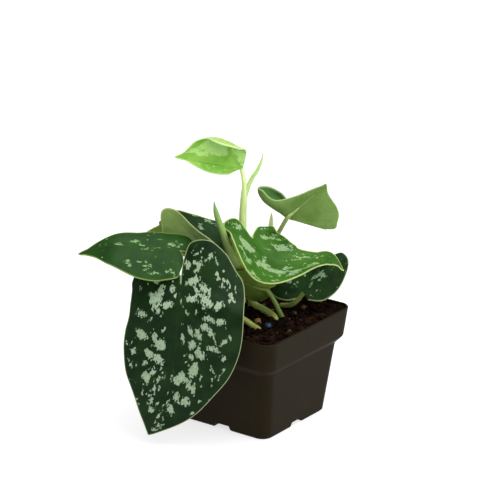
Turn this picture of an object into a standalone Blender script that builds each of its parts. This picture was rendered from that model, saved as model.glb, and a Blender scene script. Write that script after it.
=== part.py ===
# Potted satin pothos: a young Scindapsus pictus in a square plastic nursery pot.
# The named sizes are millimetres and the objects are built in metres. +Z is up, and the origin is the
# middle of the pot's underside. The pot's sides face X and Y. The plant faces the pot's front corner,
# between +X and -Y: its points are (across, out, up), seen from that corner, with across running to the
# right, out towards the viewer and up from the surface that the pot stands on.

from math import cos, pi, radians, sin

import bmesh
import bpy
import numpy as np

MM = 0.001

POT_HEIGHT = 75.5
RIM_HALF = 49.0
BAND_HALF = 46.8
BODY_HALF = 42.6
BASE_HALF = 36.4
BAND_HEIGHT = 20.5
LEDGE_HEIGHT = 5.0
RIM_CORNER = 9.0
BASE_CORNER = 8.0
FOOT_ROUNDING = 1.0
WALL = 1.2
FLOOR = 1.6
NOTCH_WIDTH = 15.0
NOTCH_HEIGHT = 3.6
NOTCH_DEPTH = 11.0
NOTCH_SLOPE = 1.8
DRAIN_HOLE_RADIUS = 2.5
DRAIN_HOLE_INSET = 7.0

SOIL_LEVEL = 72.6
SOIL_CLEARANCE = 0.5
SOIL_LUMP = 1.0
SOIL_RINGS = 9
SOIL_STEPS = 7
BEAD_RADIUS = 2.3
BEAD_PLACE = (9.8, 25.5)

FACING = radians(36.2)
BLADE_THICKNESS = 0.8
MARGIN_STEP = 7.5
CURLED_STEP = 4.0
BOW_SCALE = 27 / 8
MIDWAY = 0.5
BLADE_RINGS = 9
BLADE_SPREAD = 0.9
LEAST_TURN = radians(0.05)
WIDEST_TURN = radians(177)
STEM_SIDES = 8
STEM_STEP = 5.0
STEM_CLEARANCE = 0.45
MIDRIB_SINK = (2.0, 1.1, 0.35)
MIDRIB_RUN = (1.0, 6.0, 12.0)
MIDRIB_RADIUS = (1.5, 1.1, 0.6)

# Each blade is a midrib through (across, out, up) points, from a point behind the petiole's joint, by way
# of the joint, to the tip; the way its right half points, seen from above with the tip ahead; the outline
# of its left and right halves as (across the midrib, along it) from near the tip back to the lobe; and,
# from the lobes to the tip, how steeply each half rises from the midrib and how far it then curls, in
# degrees. The petiole runs from the soil up to the joint, and its radii are spread evenly over its points.
LEAVES = {
    "leaf_front": {
        "midrib": [(-49, 30, 131.5), (-48.5, 42, 110.5), (-51, 52.5, 95.5), (-52, 55.5, 73), (-58, 59, 40),
                   (-71, 57, 7.5)],
        "right_side": [(-0.97, -0.25, 0), (-0.97, -0.25, 0), (-0.97, -0.25, 0)],
        "left": [(5, 105.5), (18.5, 89), (30, 71), (40, 55), (45, 36), (46, 18), (43, 0.5), (37, -8),
                 (30, -20), (20, -28.5), (8, -28.5), (5, -21), (1.2, -9)],
        "right": [(5, 105), (16.5, 93), (29.5, 75), (36, 53.5), (37, 38), (34.5, 21), (36, 5), (37.5, -4),
                  (30.5, -11), (17, -10), (6, -4.5)],
        "rise": ([7, 11, 5, 0], [7, 6, 8, 0]),
        "curl": ([-45, -24, -18, -10], [-50, -31, -24, -15]),
        "petiole": [(4.5, 30.5, 60), (4, 29.5, 71.5), (-1, 26.5, 75), (-8, 26, 80), (-25, 27, 91),
                    (-38, 33, 103)],
        "radius": (2.2, 1.9),
        "colour": (0.040, 0.110, 0.045),
    },
    "leaf_left": {
        "midrib": [(-40, 24.5, 123), (-49.5, 25.5, 128), (-73.5, 28, 129.5), (-93.5, 27, 132),
                   (-118, 21, 124)],
        "right_side": [(0, -0.8, 0.6), (0, -0.82, 0.57), (0, -0.9, 0.4)],
        "left": [(1.5, 67.5), (7, 58), (15.5, 47), (20.5, 34), (23.5, 19.5), (23, 7.5), (21, 2),
                 (18, -0.5), (14, -2), (9, -5), (4, -4)],
        "right": [(1, 67), (6, 57.5), (11, 44), (15, 30.5), (18, 18), (16, 6), (14.5, -5), (8.5, -9.5),
                  (3, -6)],
        "rise": ([5, 5, 5, 0], [5, 3, 4, 0]),
        "curl": ([-20, -20, -15, -5], [-30, -31, -20, -10]),
        "petiole": [(-16, 3, 60), (-17, 5, 85), (-26, 14, 108), (-39, 21, 121)],
        "radius": (2.0, 1.7),
        "colour": (0.060, 0.190, 0.050),
    },
    "leaf_back_left": {
        "midrib": [(-14, 7, 113.5), (-21.5, 2.5, 115.5), (-38, 2, 119.5), (-53, -2, 121.5),
                   (-70.5, -8.5, 122)],
        "right_side": [(0.03, -0.98, 0.23), (0, -1, 0.12), (-0.1, -1, 0.1)],
        "left": [(1, 50.5), (8, 42.5), (14, 39.5), (33.5, 37), (27, 21.5), (27, 9), (17, 2), (11, -2.5),
                 (5, -1)],
        "right": [(2.5, 50.5), (5.5, 42.5), (14, 37.5), (25, 40), (25.5, 28), (25, 17), (24, 4.5),
                  (20.5, -1), (13.5, -4), (5.5, -3)],
        "rise": ([38, 39, 64, 46], [36, 36, 37, 40]),
        "curl": ([7, 9, 23, 10], [10, 10, 11, 12]),
        "petiole": [(-15, -10, 60), (-15, -9, 85), (-16.5, -4, 105)],
        "radius": (2.0, 1.7),
        "colour": (0.075, 0.200, 0.060),
    },
    "leaf_back_low": {
        "midrib": [(-31.5, -28, 105), (-38.5, -30, 108.5), (-49, -31.5, 115), (-62.5, -33.5, 113),
                   (-78, -33.5, 114), (-85.5, -33, 109)],
        "right_side": [(0, -1, 0.1), (0, -1, 0.1), (0, -1, 0.1)],
        "left": [(3, 46.5), (9, 41), (19, 33), (25.5, 14.5), (18.5, 3), (11.5, -4), (5, -3)],
        "right": [(2, 48), (7, 39.5), (14.5, 28), (19, 15), (20, 3), (18.5, -3), (13, -7.5), (6.5, -7),
                  (2, -3)],
        "rise": ([50, 53, 51, 41], [20, 20, 20, 20]),
        "curl": ([20, 21, 21, 10], [10, 10, 10, 10]),
        "petiole": [(-22, -26, 60), (-23, -26, 82), (-30, -28, 98)],
        "radius": (2.0, 1.7),
        "colour": (0.110, 0.210, 0.040),
    },
    "leaf_right": {
        "midrib": [(-6, -6.5, 135.5), (-1, 6, 130), (12.5, 15.5, 118.5), (29.5, 18.5, 116), (50, 14, 120),
                   (61, 13, 109)],
        "right_side": [(0.09, 0.87, -0.27), (-0.06, 0.91, -0.39), (0, 0.95, -0.29)],
        "left": [(4, 68.5), (3.5, 57), (15, 39.5), (20.5, 21.5), (24.5, 6.5), (19.5, -7.5), (17, -13.5),
                 (10, -12), (4.5, -6.5)],
        "right": [(1, 71.5), (10, 60.5), (13.5, 41.5), (31, 24), (28, 6.5), (16, -4), (16.5, -13),
                  (6, -19), (1, -10)],
        "rise": ([-2, 15, 11, 0], [6, 3, 12, 0]),
        "curl": ([-12, -9, -5, 0], [20, 11, 9, 0]),
        "petiole": [(-2, -13, 60), (-2, -13, 80), (-2, -11.5, 100), (-2, -4.5, 117)],
        "radius": (2.0, 1.8),
        "colour": (0.100, 0.330, 0.060),
    },
    "leaf_under": {
        "midrib": [(11.5, 3.5, 92.3), (9.5, 4.5, 93), (2, 6.5, 95), (-10, 6, 99), (-19.5, 7, 100.5),
                   (-30.5, 7, 99)],
        "right_side": [(-0.22, -0.32, -0.99), (-0.21, -0.31, -0.99), (-0.2, -0.3, -1)],
        "left": [(1, 39.5), (4, 32.5), (8, 23), (10.5, 12.5), (11, 2.5), (9, -3), (4, -4.5)],
        "right": [(1.5, 39.5), (5.5, 32.5), (11, 23), (14, 12.5), (16.5, 3), (13.5, -3), (6.5, -4.5)],
        "rise": ([0, 0, 0, 0], [4, 6, 0, 0]),
        "curl": ([20, 20, 10, 10], [22, 24, 10, 10]),
        "petiole": [(20.5, 9.5, 60), (20, 9.5, 72), (17, 8.5, 79), (13.5, 7, 86)],
        "radius": (1.8, 1.6),
        "colour": (0.120, 0.220, 0.040),
    },
}

# Three blades curl or droop too far for a flat outline. Each is a joint and the points of its margin, from
# the right lobe by way of the tip to the left lobe, with the way that the blade bows between the joint and
# each of those points: half of that bow is reached two thirds of the way out.
CURLED_LEAVES = {
    "leaf_right_low": {
        "joint": (33.5, -3.5, 88.5),
        "margin": [(37, 5, 85), (43.5, 6, 84.5), (49, 3, 84.5), (55, -3, 86.5), (59, -8, 89.5),
                   (62.5, -14, 94.5), (65, -20, 100.5), (64.5, -25, 104.5), (60.5, -30, 106.5),
                   (53.5, -36, 102), (44.5, -33, 102.5), (34, -27, 104.5), (25, -20, 105), (16.5, -12, 102),
                   (11, -4, 97.5), (10, 1, 92.5), (14.5, 4, 87), (22, 6, 85), (29, 4.5, 85.5)],
        "bow": [(0, 0, 0), (0, 0, 1), (0, 0, 1), (0, 1, 1), (0, 1, 2), (0, 1, 2), (0, 1, 2), (0, 1, 2),
                (0, 1, 1), (0, 0, -1), (0, 1, 1), (0, 1, 2), (0, 1, 2), (0, 1, 2), (0, 1, 2), (0, 1, 2),
                (0, 1, 1), (0, 0, 1), (0, 0, 0)],
        "tip": 9,
        "petiole": [(17, -17, 60), (17.5, -16.5, 71.5), (20.5, -12, 74.5), (25.5, -8, 76.5),
                    (29.5, -5.5, 80.5)],
        "radius": (1.9, 1.7),
        "colour": (0.030, 0.085, 0.030),
    },
    "leaf_back_right": {
        "joint": (22.5, -13.5, 137.5),
        "margin": [(23.5, -22, 147), (20, -26, 150.5), (16, -26, 153.5), (11, -23, 157), (5.5, -17, 159.5),
                   (3, -12, 160), (6.5, -8.5, 159), (10, -7, 155.5), (14.5, -7, 153), (20, -8.5, 153),
                   (26, -10.5, 154), (32.5, -13, 155.5), (39.5, -15, 158), (46.5, -17, 160),
                   (49.5, -17.5, 161), (50.5, -16, 155), (54, -14.5, 149.5), (56.5, -13, 146),
                   (58, -12, 141), (57, -11, 135.5), (55.5, -10, 131.5), (48.5, -9, 131)],
        "bow": [(-1, -4, -2), (-3, -7, -3), (-5, -7, -4), (-7, -5, -4), (-8, -2, -3), (-7, 0, -2),
                (-9, 2, -2), (-5, 3, -1), (-2, 3, -1), (-2, 4, -1), (-1, 3, 0), (0, 2, 0), (0, 1, 0),
                (0, 1, 0), (0, 1, 0), (0, 2, 1), (0, 3, 1), (0, 3, 1), (0, 3, 1), (0, 3, 1), (0, 3, 0),
                (0, 1, 0)],
        "tip": 14,
        "petiole": [(4, -34, 60), (5, -32, 85), (9, -25, 108), (17.5, -16.5, 127)],
        "radius": (1.9, 1.55),
        "colour": (0.180, 0.330, 0.120),
    },
    "shoot_top": {
        "joint": (-7.5, -11, 174.5),
        "margin": [(-5, -11, 185.5), (-6, -8, 188.5), (-10, -6, 189.5), (-16, -5, 191.5),
                   (-22, -5, 193), (-27.5, -6.5, 195), (-30.5, -8.5, 196), (-34.5, -10, 195.5),
                   (-39.5, -10.5, 193.5), (-44, -10.5, 189), (-48, -10, 185.5), (-53.5, -9, 183),
                   (-49, -8.5, 181.5), (-45.5, -8.5, 180.5), (-41.5, -8, 178), (-36, -7.5, 175),
                   (-31, -7, 173), (-24.5, -7, 171.5), (-17, -7.5, 171)],
        "bow": [(0.5, -3, 1), (0.5, -5, 4), (0, -8, 6), (0, -10, 9), (0, -11, 11), (0, -10, 10.5),
                (0, -8, 8.5), (0, -6, 6), (0, -4, 3.5), (0, -3, 1.5), (0, -1.5, 0.5), (0, -1.5, -0.5),
                (0, -1.5, -1), (0, -2, -1), (0, -2, -1), (0, -2, -1), (0, -2, -1), (0, -2, -1),
                (0, -1, 0)],
        "tip": 11,
        "petiole": [(-8, -23, 60), (-7.5, -19, 100), (-7.5, -15, 130), (-7.3, -14, 141), (-6.7, -13, 152),
                    (-6.5, -12, 163)],
        "radius": (2.5, 2.6, 2.7, 2.6, 2.4, 1.6),
        "colour": (0.420, 0.720, 0.180),
    },
}

# Shoots are stems that end in the rolled tip of the next leaf: their points and their radii from the
# soil to the tip.
SHOOTS = {
    "shoot_middle": {
        "points": [(15.5, 11, 60), (15, 10.5, 71), (11, 4, 73.5), (6, -1.5, 74), (0.5, -6, 77),
                   (-5.5, -6.5, 88), (-9.5, -3, 98.5), (-11.5, 1.5, 109), (-15, 4.5, 117),
                   (-18.5, 6.6, 126), (-21.4, 8.1, 136.5), (-23.8, 8.6, 144), (-25.4, 9, 150),
                   (-26.2, 9, 154), (-26.7, 9, 158)],
        "radii": [2.3, 2.4, 2.4, 2.4, 2.4, 2.4, 2.6, 3.1, 3.0, 2.6, 2.4, 2.1, 1.7, 0.9, 0.35],
        "colour": (0.330, 0.560, 0.180),
    },
    "shoot_back": {
        "points": [(8, -41, 60), (9, -37, 90), (10.5, -28, 115), (11.7, -22.5, 128), (12, -22, 133),
                   (12.2, -21.5, 139)],
        "radii": [2.0, 2.0, 1.9, 1.75, 1.4, 0.35],
        "colour": (0.420, 0.620, 0.260),
    },
}
SHEATHS = {
    "shoot_top": {
        "points": [(-6.2, -13, 151), (-4, -13, 160), (-0.6, -13, 167.4), (2.7, -13.5, 172.4),
                   (5.7, -14, 180), (6, -14, 185)],
        "radii": [1.5, 1.6, 1.4, 1.2, 0.7, 0.35],
    },
}
STUB = {"points": [(4.5, 17, 63), (3.5, 18.5, 71), (2.2, 19.5, 77.5)], "radii": [2.2, 2.2, 2.2]}


def remove_everything():
    for item in list(bpy.data.objects):
        bpy.data.objects.remove(item, do_unlink=True)


def to_world(points):
    """Points given as (across, out, up) in the pot's own axes."""
    p = np.asarray(points, dtype=float)
    across, out, up = p[..., 0], p[..., 1], p[..., 2]
    x = across * cos(FACING) + out * sin(FACING)
    y = across * sin(FACING) - out * cos(FACING)
    return np.stack([x, y, up], -1)


def unit(vectors):
    return vectors / np.linalg.norm(vectors, axis=-1, keepdims=True)


def smooth_curve(points, t):
    """A curve through all the points; t counts them, with fractions between."""
    p = np.asarray(points, dtype=float)
    p = p[:, None] if p.ndim == 1 else p
    t = np.clip(np.asarray(t, dtype=float), 0, len(p) - 1)
    i = np.minimum(t.astype(int), len(p) - 2)
    f = (t - i)[:, None]
    ends = np.vstack([2 * p[0] - p[1], p, 2 * p[-1] - p[-2]])
    a, b, c, d = ends[i], ends[i + 1], ends[i + 2], ends[i + 3]
    return 0.5 * (2 * b + (c - a) * f + (2 * a - 5 * b + 4 * c - d) * f**2 + (3 * b - a - 3 * c + d) * f**3)


def evenly(curve, count):
    """The same curve as count points, evenly spaced along it."""
    steps = np.linalg.norm(np.diff(curve, axis=0), axis=1)
    run = np.concatenate([[0], np.cumsum(steps)])
    at = np.linspace(0, run[-1], count)
    return np.stack([np.interp(at, run, column) for column in curve.T], 1)


def plastic(name, colour, roughness):
    material = bpy.data.materials.new(name)
    material.use_nodes = True
    shader = material.node_tree.nodes["Principled BSDF"]
    shader.inputs["Base Color"].default_value = (*colour, 1)
    shader.inputs["Roughness"].default_value = roughness
    shader.inputs["Metallic"].default_value = 0
    return material


def new_object(name, points, faces, material=None):
    """A closed mesh from millimetre points, with its faces turned outwards."""
    mesh = bpy.data.meshes.new(name)
    mesh.from_pydata([tuple(v) for v in np.asarray(points) * MM], [], faces)
    work = bmesh.new()
    work.from_mesh(mesh)
    bmesh.ops.recalc_face_normals(work, faces=work.faces)
    work.to_mesh(mesh)
    work.free()
    mesh.shade_smooth()
    mesh.set_sharp_from_angle(angle=radians(40))
    if material:
        mesh.materials.append(material)
    item = bpy.data.objects.new(name, mesh)
    bpy.context.scene.collection.objects.link(item)
    return item


def combine(item, other, operation, solver="MANIFOLD"):
    """Join another object to this one, or cut it away, and remove it."""
    modifier = item.modifiers.new(operation.title(), "BOOLEAN")
    modifier.operation = operation
    modifier.solver = solver
    modifier.object = other
    bpy.context.view_layer.update()
    evaluated = item.evaluated_get(bpy.context.evaluated_depsgraph_get())
    mesh = bpy.data.meshes.new_from_object(evaluated)
    item.modifiers.clear()
    item.data = mesh
    bpy.data.objects.remove(other, do_unlink=True)
    return item


def rounded_square(half, corner, z, corner_steps=6, side_steps=1):
    """One closed loop of points round a square with rounded corners."""
    loop = []
    for quarter in range(4):
        turn = quarter * pi / 2
        for step in range(corner_steps + 1):
            a = step / corner_steps * pi / 2
            loop.append((half - corner + corner * cos(a), half - corner + corner * sin(a), turn))
        for step in range(1, side_steps):
            t = step / side_steps
            loop.append(((half - corner) * (1 - 2 * t), half, turn))
    return [(x * cos(r) - y * sin(r), x * sin(r) + y * cos(r), z) for x, y, r in loop]


def skin(loops):
    """Faces between loops of one length, with both ends closed."""
    n = len(loops[0])
    points = [p for loop in loops for p in loop]
    faces = []
    for level in range(len(loops) - 1):
        low, high = level * n, (level + 1) * n
        for i in range(n):
            j = (i + 1) % n
            faces.append((low + i, low + j, high + j, high + i))
    faces.append(tuple(reversed(range(n))))
    faces.append(tuple(range(len(points) - n, len(points))))
    return points, faces


def wall_levels(inset):
    """The pot's outside from the foot up, as (half width, corner radius, height), moved in by inset."""
    ledge_foot = POT_HEIGHT - BAND_HEIGHT - LEDGE_HEIGHT
    band_foot = POT_HEIGHT - BAND_HEIGHT
    body_corner = BASE_CORNER + 0.6
    levels = [
        (BASE_HALF + 0.1, BASE_CORNER, FOOT_ROUNDING),
        (BODY_HALF, body_corner, ledge_foot),
        (BODY_HALF + 0.5, body_corner, ledge_foot + 0.6),
        (BAND_HALF - 0.4, RIM_CORNER, band_foot - 0.5),
        (BAND_HALF, RIM_CORNER, band_foot + 0.3),
        (RIM_HALF, RIM_CORNER, POT_HEIGHT - 0.4),
    ]
    return [(half - inset, corner - inset, z) for half, corner, z in levels]


def notch_block(name, grow):
    """The drainage recess under the middle of one side, as a block with sloped ends."""
    top = NOTCH_HEIGHT + grow
    foot = NOTCH_WIDTH / 2 + grow
    head = foot - NOTCH_SLOPE
    inner = BASE_HALF - NOTCH_DEPTH - grow
    outer = BASE_HALF + 5
    points = []
    for y in (inner, outer):
        points += [(-foot, y, -2), (foot, y, -2), (foot, y, 0), (head, y, top)]
        points += [(-head, y, top), (-foot, y, 0)]
    faces = [(5, 4, 3, 2, 1, 0), (6, 7, 8, 9, 10, 11)]
    faces += [(i, (i + 1) % 6, (i + 1) % 6 + 6, i + 6) for i in range(6)]
    return new_object(name, points, faces)


def cut_four_sides(item, grow):
    for quarter in range(4):
        block = notch_block("notch", grow)
        block.rotation_euler.z = quarter * pi / 2
        combine(item, block, "DIFFERENCE")


def build_pot():
    outside = [(BASE_HALF - FOOT_ROUNDING, BASE_CORNER - FOOT_ROUNDING, 0)] + wall_levels(0)
    outside.append((RIM_HALF - 0.3, RIM_CORNER - 0.3, POT_HEIGHT))
    pot = new_object("pot", *skin([rounded_square(*level) for level in outside]),
                     plastic("black_moulded_plastic", (0.022, 0.020, 0.015), 0.42))
    cut_four_sides(pot, 0)
    inside = [(half, corner, max(z, FLOOR)) for half, corner, z in wall_levels(WALL)]
    inside.append((RIM_HALF - WALL, RIM_CORNER - WALL, POT_HEIGHT + 3))
    cavity = new_object("cavity", *skin([rounded_square(*level) for level in inside]))
    cut_four_sides(cavity, FLOOR)
    combine(pot, cavity, "DIFFERENCE")
    for quarter in range(4):
        a = quarter * pi / 2
        work = bmesh.new()
        bmesh.ops.create_cone(work, cap_ends=True, segments=12, radius1=DRAIN_HOLE_RADIUS * MM,
                              radius2=DRAIN_HOLE_RADIUS * MM, depth=8 * MM)
        mesh = bpy.data.meshes.new("drain")
        work.to_mesh(mesh)
        work.free()
        drain = bpy.data.objects.new("drain", mesh)
        bpy.context.scene.collection.objects.link(drain)
        reach = (BASE_HALF - DRAIN_HOLE_INSET) * MM
        drain.location = (reach * cos(a), reach * sin(a), NOTCH_HEIGHT * MM)
        combine(pot, drain, "DIFFERENCE")


def soil_height(x, y):
    """The lumpy top of the peat, with coarser crumbs standing up at the back and right."""
    waves = sin(0.31 * x + 0.9) * cos(0.27 * y) + 0.8 * sin(0.47 * y - 0.2 * x)
    waves += 0.6 * cos(0.83 * x + 0.35 * y)
    crumbs = 0.55 * sin(1.9 * x + 0.4 * y) * cos(1.6 * y - 0.7 * x)
    back = 0.6 * max(0.0, min(1.0, (x + y) / 60))
    return SOIL_LEVEL + SOIL_LUMP * (0.45 * waves + crumbs) + back


def build_soil(stems):
    inset = WALL + SOIL_CLEARANCE
    floor = FLOOR + SOIL_CLEARANCE
    sides = [(half, corner, max(z, floor)) for half, corner, z in wall_levels(inset)[:-1]]
    band_foot = POT_HEIGHT - BAND_HEIGHT
    share = (SOIL_LEVEL - SOIL_LUMP - band_foot) / BAND_HEIGHT
    top_half = BAND_HALF + share * (RIM_HALF - BAND_HALF) - inset
    loops = [rounded_square(*level, side_steps=SOIL_STEPS) for level in sides]
    for ring in range(SOIL_RINGS):
        share = 1 - ring / SOIL_RINGS
        flat = rounded_square(top_half * share, (RIM_CORNER - inset) * share, 0, side_steps=SOIL_STEPS)
        loops.append([(x, y, soil_height(x, y)) for x, y, _ in flat])
    soil = new_object("soil", *skin(loops), plastic("dark_peat", (0.022, 0.012, 0.008), 0.95))
    cut_four_sides(soil, FLOOR + SOIL_CLEARANCE)
    for points, radii in stems:
        combine(soil, tube("hole", points, radii, grow=STEM_CLEARANCE), "DIFFERENCE")
    x, y, _ = to_world((*BEAD_PLACE, 0))
    dimple = sphere("dimple", (x, y, soil_height(x, y) + BEAD_RADIUS * 0.6), BEAD_RADIUS + STEM_CLEARANCE)
    combine(soil, dimple, "DIFFERENCE")
    return soil


def sphere(name, centre, radius, material=None):
    work = bmesh.new()
    bmesh.ops.create_icosphere(work, subdivisions=2, radius=radius)
    points = [tuple(np.add(v.co, centre)) for v in work.verts]
    faces = [tuple(v.index for v in face.verts) for face in work.faces]
    work.free()
    return new_object(name, points, faces, material)


def tube(name, points, radii, material=None, grow=0.0):
    """A round stem along a smooth curve through the points, as thick as its radii say, or more by grow."""
    fine = np.linspace(0, len(points) - 1, 30 * len(points))
    dense = np.hstack([smooth_curve(to_world(points), fine), smooth_curve(radii, fine)])
    length = np.linalg.norm(np.diff(dense[:, :3], axis=0), axis=1).sum()
    rows = evenly(dense, max(4, round(length / STEM_STEP)))
    centre, radius = rows[:, :3], rows[:, 3] + grow
    along = unit(np.gradient(centre, axis=0))
    centre[0] -= grow * along[0]
    centre[-1] += grow * along[-1]
    side = unit(np.cross(along[0], (0.35, 0.9, 0.1)))
    loops = []
    for c, r, t in zip(centre, radius, along):
        side = unit(side - np.dot(side, t) * t)
        other = np.cross(t, side)
        turns = [2 * pi * i / STEM_SIDES for i in range(STEM_SIDES)]
        loops.append([tuple(c + r * (cos(a) * side + sin(a) * other)) for a in turns])
    return new_object(name, *skin(loops), material)


class Blade:
    """A leaf blade: a flat heart outline laid on a bent midrib, with halves that rise and curl."""

    def __init__(self, leaf):
        self.leaf = leaf
        count = len(leaf["midrib"])
        t = np.linspace(0, count - 1, 24 * (count - 1) + 1)
        self.centre = smooth_curve(to_world(leaf["midrib"]), t)
        steps = np.linalg.norm(np.diff(self.centre, axis=0), axis=1)
        run = np.concatenate([[0], np.cumsum(steps)])
        self.run = run - np.interp(1, t, run)
        self.length = self.run[-1]
        self.along = unit(np.gradient(self.centre, axis=0))
        sides = to_world(leaf["right_side"])
        side = smooth_curve(sides, np.linspace(0, len(sides) - 1, len(t)))
        self.side = unit(side - np.sum(side * self.along, axis=1, keepdims=True) * self.along)
        self.up = np.cross(self.side, self.along)

    def frame(self, y):
        """Point, side and upward directions at distances y along the midrib from the joint."""
        pick = []
        for values in (self.centre, self.side, self.up):
            pick.append(np.stack([np.interp(y, self.run, column) for column in values.T], 1))
        short = np.minimum(y - self.run[0], 0)[:, None]
        past = np.maximum(y - self.length, 0)[:, None]
        centre = pick[0] + short * self.along[0] + past * self.along[-1]
        return centre, unit(pick[1]), unit(pick[2])

    def profile(self, values, y):
        stations = np.linspace(-0.25 * self.length, self.length, len(values))
        return smooth_curve(values, np.interp(y, stations, np.arange(len(values))))[:, 0]

    def surface(self, half, x, y):
        """Points of one half, 0 left or 1 right, x across from the midrib and y along it."""
        centre, side, up = self.frame(y)
        rise = np.radians(self.profile(self.leaf["rise"][half], y))
        widest = max(p[0] for p in self.leaf[("left", "right")[half]])
        bend = np.radians(self.profile(self.leaf["curl"][half], y)) / widest
        bend = np.where(np.abs(bend) < 1e-6, 1e-6, bend)
        reach = (np.sin(rise + bend * x) - np.sin(rise)) / bend
        lift = (np.cos(rise) - np.cos(rise + bend * x)) / bend
        sign = (-1, 1)[half]
        return centre + sign * reach[:, None] * side + lift[:, None] * up

    def margin_curve(self, half):
        """The outline of one half, finely, from the tip round to the joint, always turning the same way."""
        corners = np.array([(0.0, self.length)] + self.leaf[("left", "right")[half]] + [(0.0, 0.0)])
        curve = smooth_curve(corners, np.linspace(0, len(corners) - 1, 30 * len(corners)))[:-1]
        reach = np.hypot(curve[:, 0], curve[:, 1])
        turn = np.arctan2(np.maximum(curve[:, 0], 0), curve[:, 1])
        least = LEAST_TURN * np.arange(len(turn))
        turn = np.minimum(np.maximum.accumulate(turn - least) + least, WIDEST_TURN)
        return np.stack([reach * np.sin(turn), reach * np.cos(turn)], 1)

    def grid(self, rings):
        """Rings of points round the joint: the right lobe, the tip, then the left lobe."""
        rows = []
        curves = [self.margin_curve(half) for half in (0, 1)]
        longest = max(np.linalg.norm(np.diff(curve, axis=0), axis=1).sum() for curve in curves)
        rays = max(12, round(longest / MARGIN_STEP))
        for ring in range(1, rings + 1):
            share = (ring / rings) ** BLADE_SPREAD
            halves = []
            for half in (1, 0):
                edge = evenly(curves[half], rays + 1)[:-1] * share
                halves.append(self.surface(half, edge[:, 0], edge[:, 1]))
            rows.append(np.vstack([halves[0][::-1], halves[1][1:]]))
        return np.array(rows)

    def under(self, run, sink):
        """Points below the midrib, for the petiole's end."""
        centre, _, up = self.frame(np.asarray(run, dtype=float))
        return centre - np.asarray(sink)[:, None] * up


class CurledBlade:
    """A leaf blade of bowed lines that run from the petiole's joint to its margin."""

    def __init__(self, leaf):
        self.joint = to_world(leaf["joint"])
        self.edge = to_world(leaf["margin"])
        self.bow = to_world(leaf["bow"])
        self.tip = leaf["tip"]
        shares = np.linspace(0, 1, 60)
        self.midrib = np.array([self.points([self.tip], share)[0] for share in shares])
        steps = np.linalg.norm(np.diff(self.midrib, axis=0), axis=1)
        self.run = np.concatenate([[0], np.cumsum(steps)])
        self.length = self.run[-1]

    def points(self, t, share):
        """The points at one share of the way out to the margin; t counts the margin's points."""
        reach = share * (smooth_curve(self.edge, t) - self.joint)
        return self.joint + reach + BOW_SCALE * share**2 * (1 - share) * smooth_curve(self.bow, t)

    def frame(self, y):
        """Point, side and upward directions at distances y along the midrib from the joint."""
        y = np.asarray(y, dtype=float)
        ends = np.stack([np.interp(y, self.run, column) for column in self.midrib.T], 1)
        tangent = np.gradient(self.midrib, axis=0)
        along = unit(np.stack([np.interp(y, self.run, column) for column in tangent.T], 1))
        side = self.points([self.tip - 1.0], MIDWAY) - self.points([self.tip + 1.0], MIDWAY)
        side = unit(side - np.sum(side * along, axis=1, keepdims=True) * along)
        return ends, side, np.cross(side, along)

    def grid(self, rings):
        """Rings of points round the joint: the right lobe, the tip, then the left lobe."""
        halves = []
        for start, end in ((0, self.tip), (self.tip, len(self.edge) - 1)):
            t = np.linspace(start, end, 40 * (end - start))
            margin = smooth_curve(self.edge, t)
            steps = np.linalg.norm(np.diff(margin, axis=0), axis=1)
            run = np.concatenate([[0], np.cumsum(steps)])
            halves.append(np.interp(np.linspace(0, run[-1], max(8, round(run[-1] / CURLED_STEP))), run, t))
        t = np.concatenate([halves[0], halves[1][1:]])
        return np.array([self.points(t, (ring / rings) ** BLADE_SPREAD) for ring in range(1, rings + 1)])

    def under(self, run, sink):
        """Points below the midrib, for the petiole's end."""
        centre, _, up = self.frame(run)
        return centre - np.asarray(sink)[:, None] * up


def blade_object(name, blade, material):
    rows = blade.grid(BLADE_RINGS)
    rings, rays, _ = rows.shape
    centre = blade.frame(np.array([0.0]))[0]
    full = np.concatenate([np.repeat(centre[None], rays, axis=1), rows])
    across = np.gradient(full, axis=1)
    outward = np.gradient(full, axis=0)
    normal = unit(np.cross(outward, across)[1:])
    normal *= np.sign(np.sum(normal[rings // 2, rays // 2] * blade.frame(np.array([blade.length / 2]))[2]))
    half = BLADE_THICKNESS / 2
    hub = unit(normal[0].mean(axis=0))
    points = [centre[0] + half * hub, centre[0] - half * hub]
    points += list((rows + half * normal).reshape(-1, 3)) + list((rows - half * normal).reshape(-1, 3))
    shift = rings * rays

    def at(ring, ray):
        return 2 + ring * rays + ray

    triangles = []
    for ray in range(rays - 1):
        triangles.append((0, at(0, ray), at(0, ray + 1)))
        for ring in range(rings - 1):
            a, b, c, d = at(ring, ray), at(ring + 1, ray), at(ring + 1, ray + 1), at(ring, ray + 1)
            triangles += [(a, b, c), (a, c, d)]
    faces = list(triangles)
    faces += [tuple(1 if i == 0 else i + shift for i in reversed(face)) for face in triangles]
    margin = [0] + [at(ring, 0) for ring in range(rings)] + [at(rings - 1, ray) for ray in range(1, rays)]
    margin += [at(ring, rays - 1) for ring in range(rings - 2, -1, -1)]
    for i, a in enumerate(margin):
        b = margin[(i + 1) % len(margin)]
        low_a = 1 if a == 0 else a + shift
        low_b = 1 if b == 0 else b + shift
        faces += [(a, low_a, low_b), (a, low_b, b)]
    return new_object(name, points, faces, material)


def from_world(points):
    """The reverse of to_world."""
    x, y, z = np.asarray(points).T
    across = x * cos(FACING) + y * sin(FACING)
    out = x * sin(FACING) - y * cos(FACING)
    return [tuple(p) for p in np.stack([across, out, z], 1)]


def petiole_path(leaf, blade):
    """The petiole's points and radii, from the soil to where it runs out under the midrib."""
    points = list(leaf["petiole"]) + from_world(blade.under(MIDRIB_RUN, MIDRIB_SINK))
    stations = np.linspace(0, len(leaf["radius"]) - 1, len(leaf["petiole"]))
    radii = np.interp(stations, range(len(leaf["radius"])), leaf["radius"])
    return points, list(radii) + list(MIDRIB_RADIUS)


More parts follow.
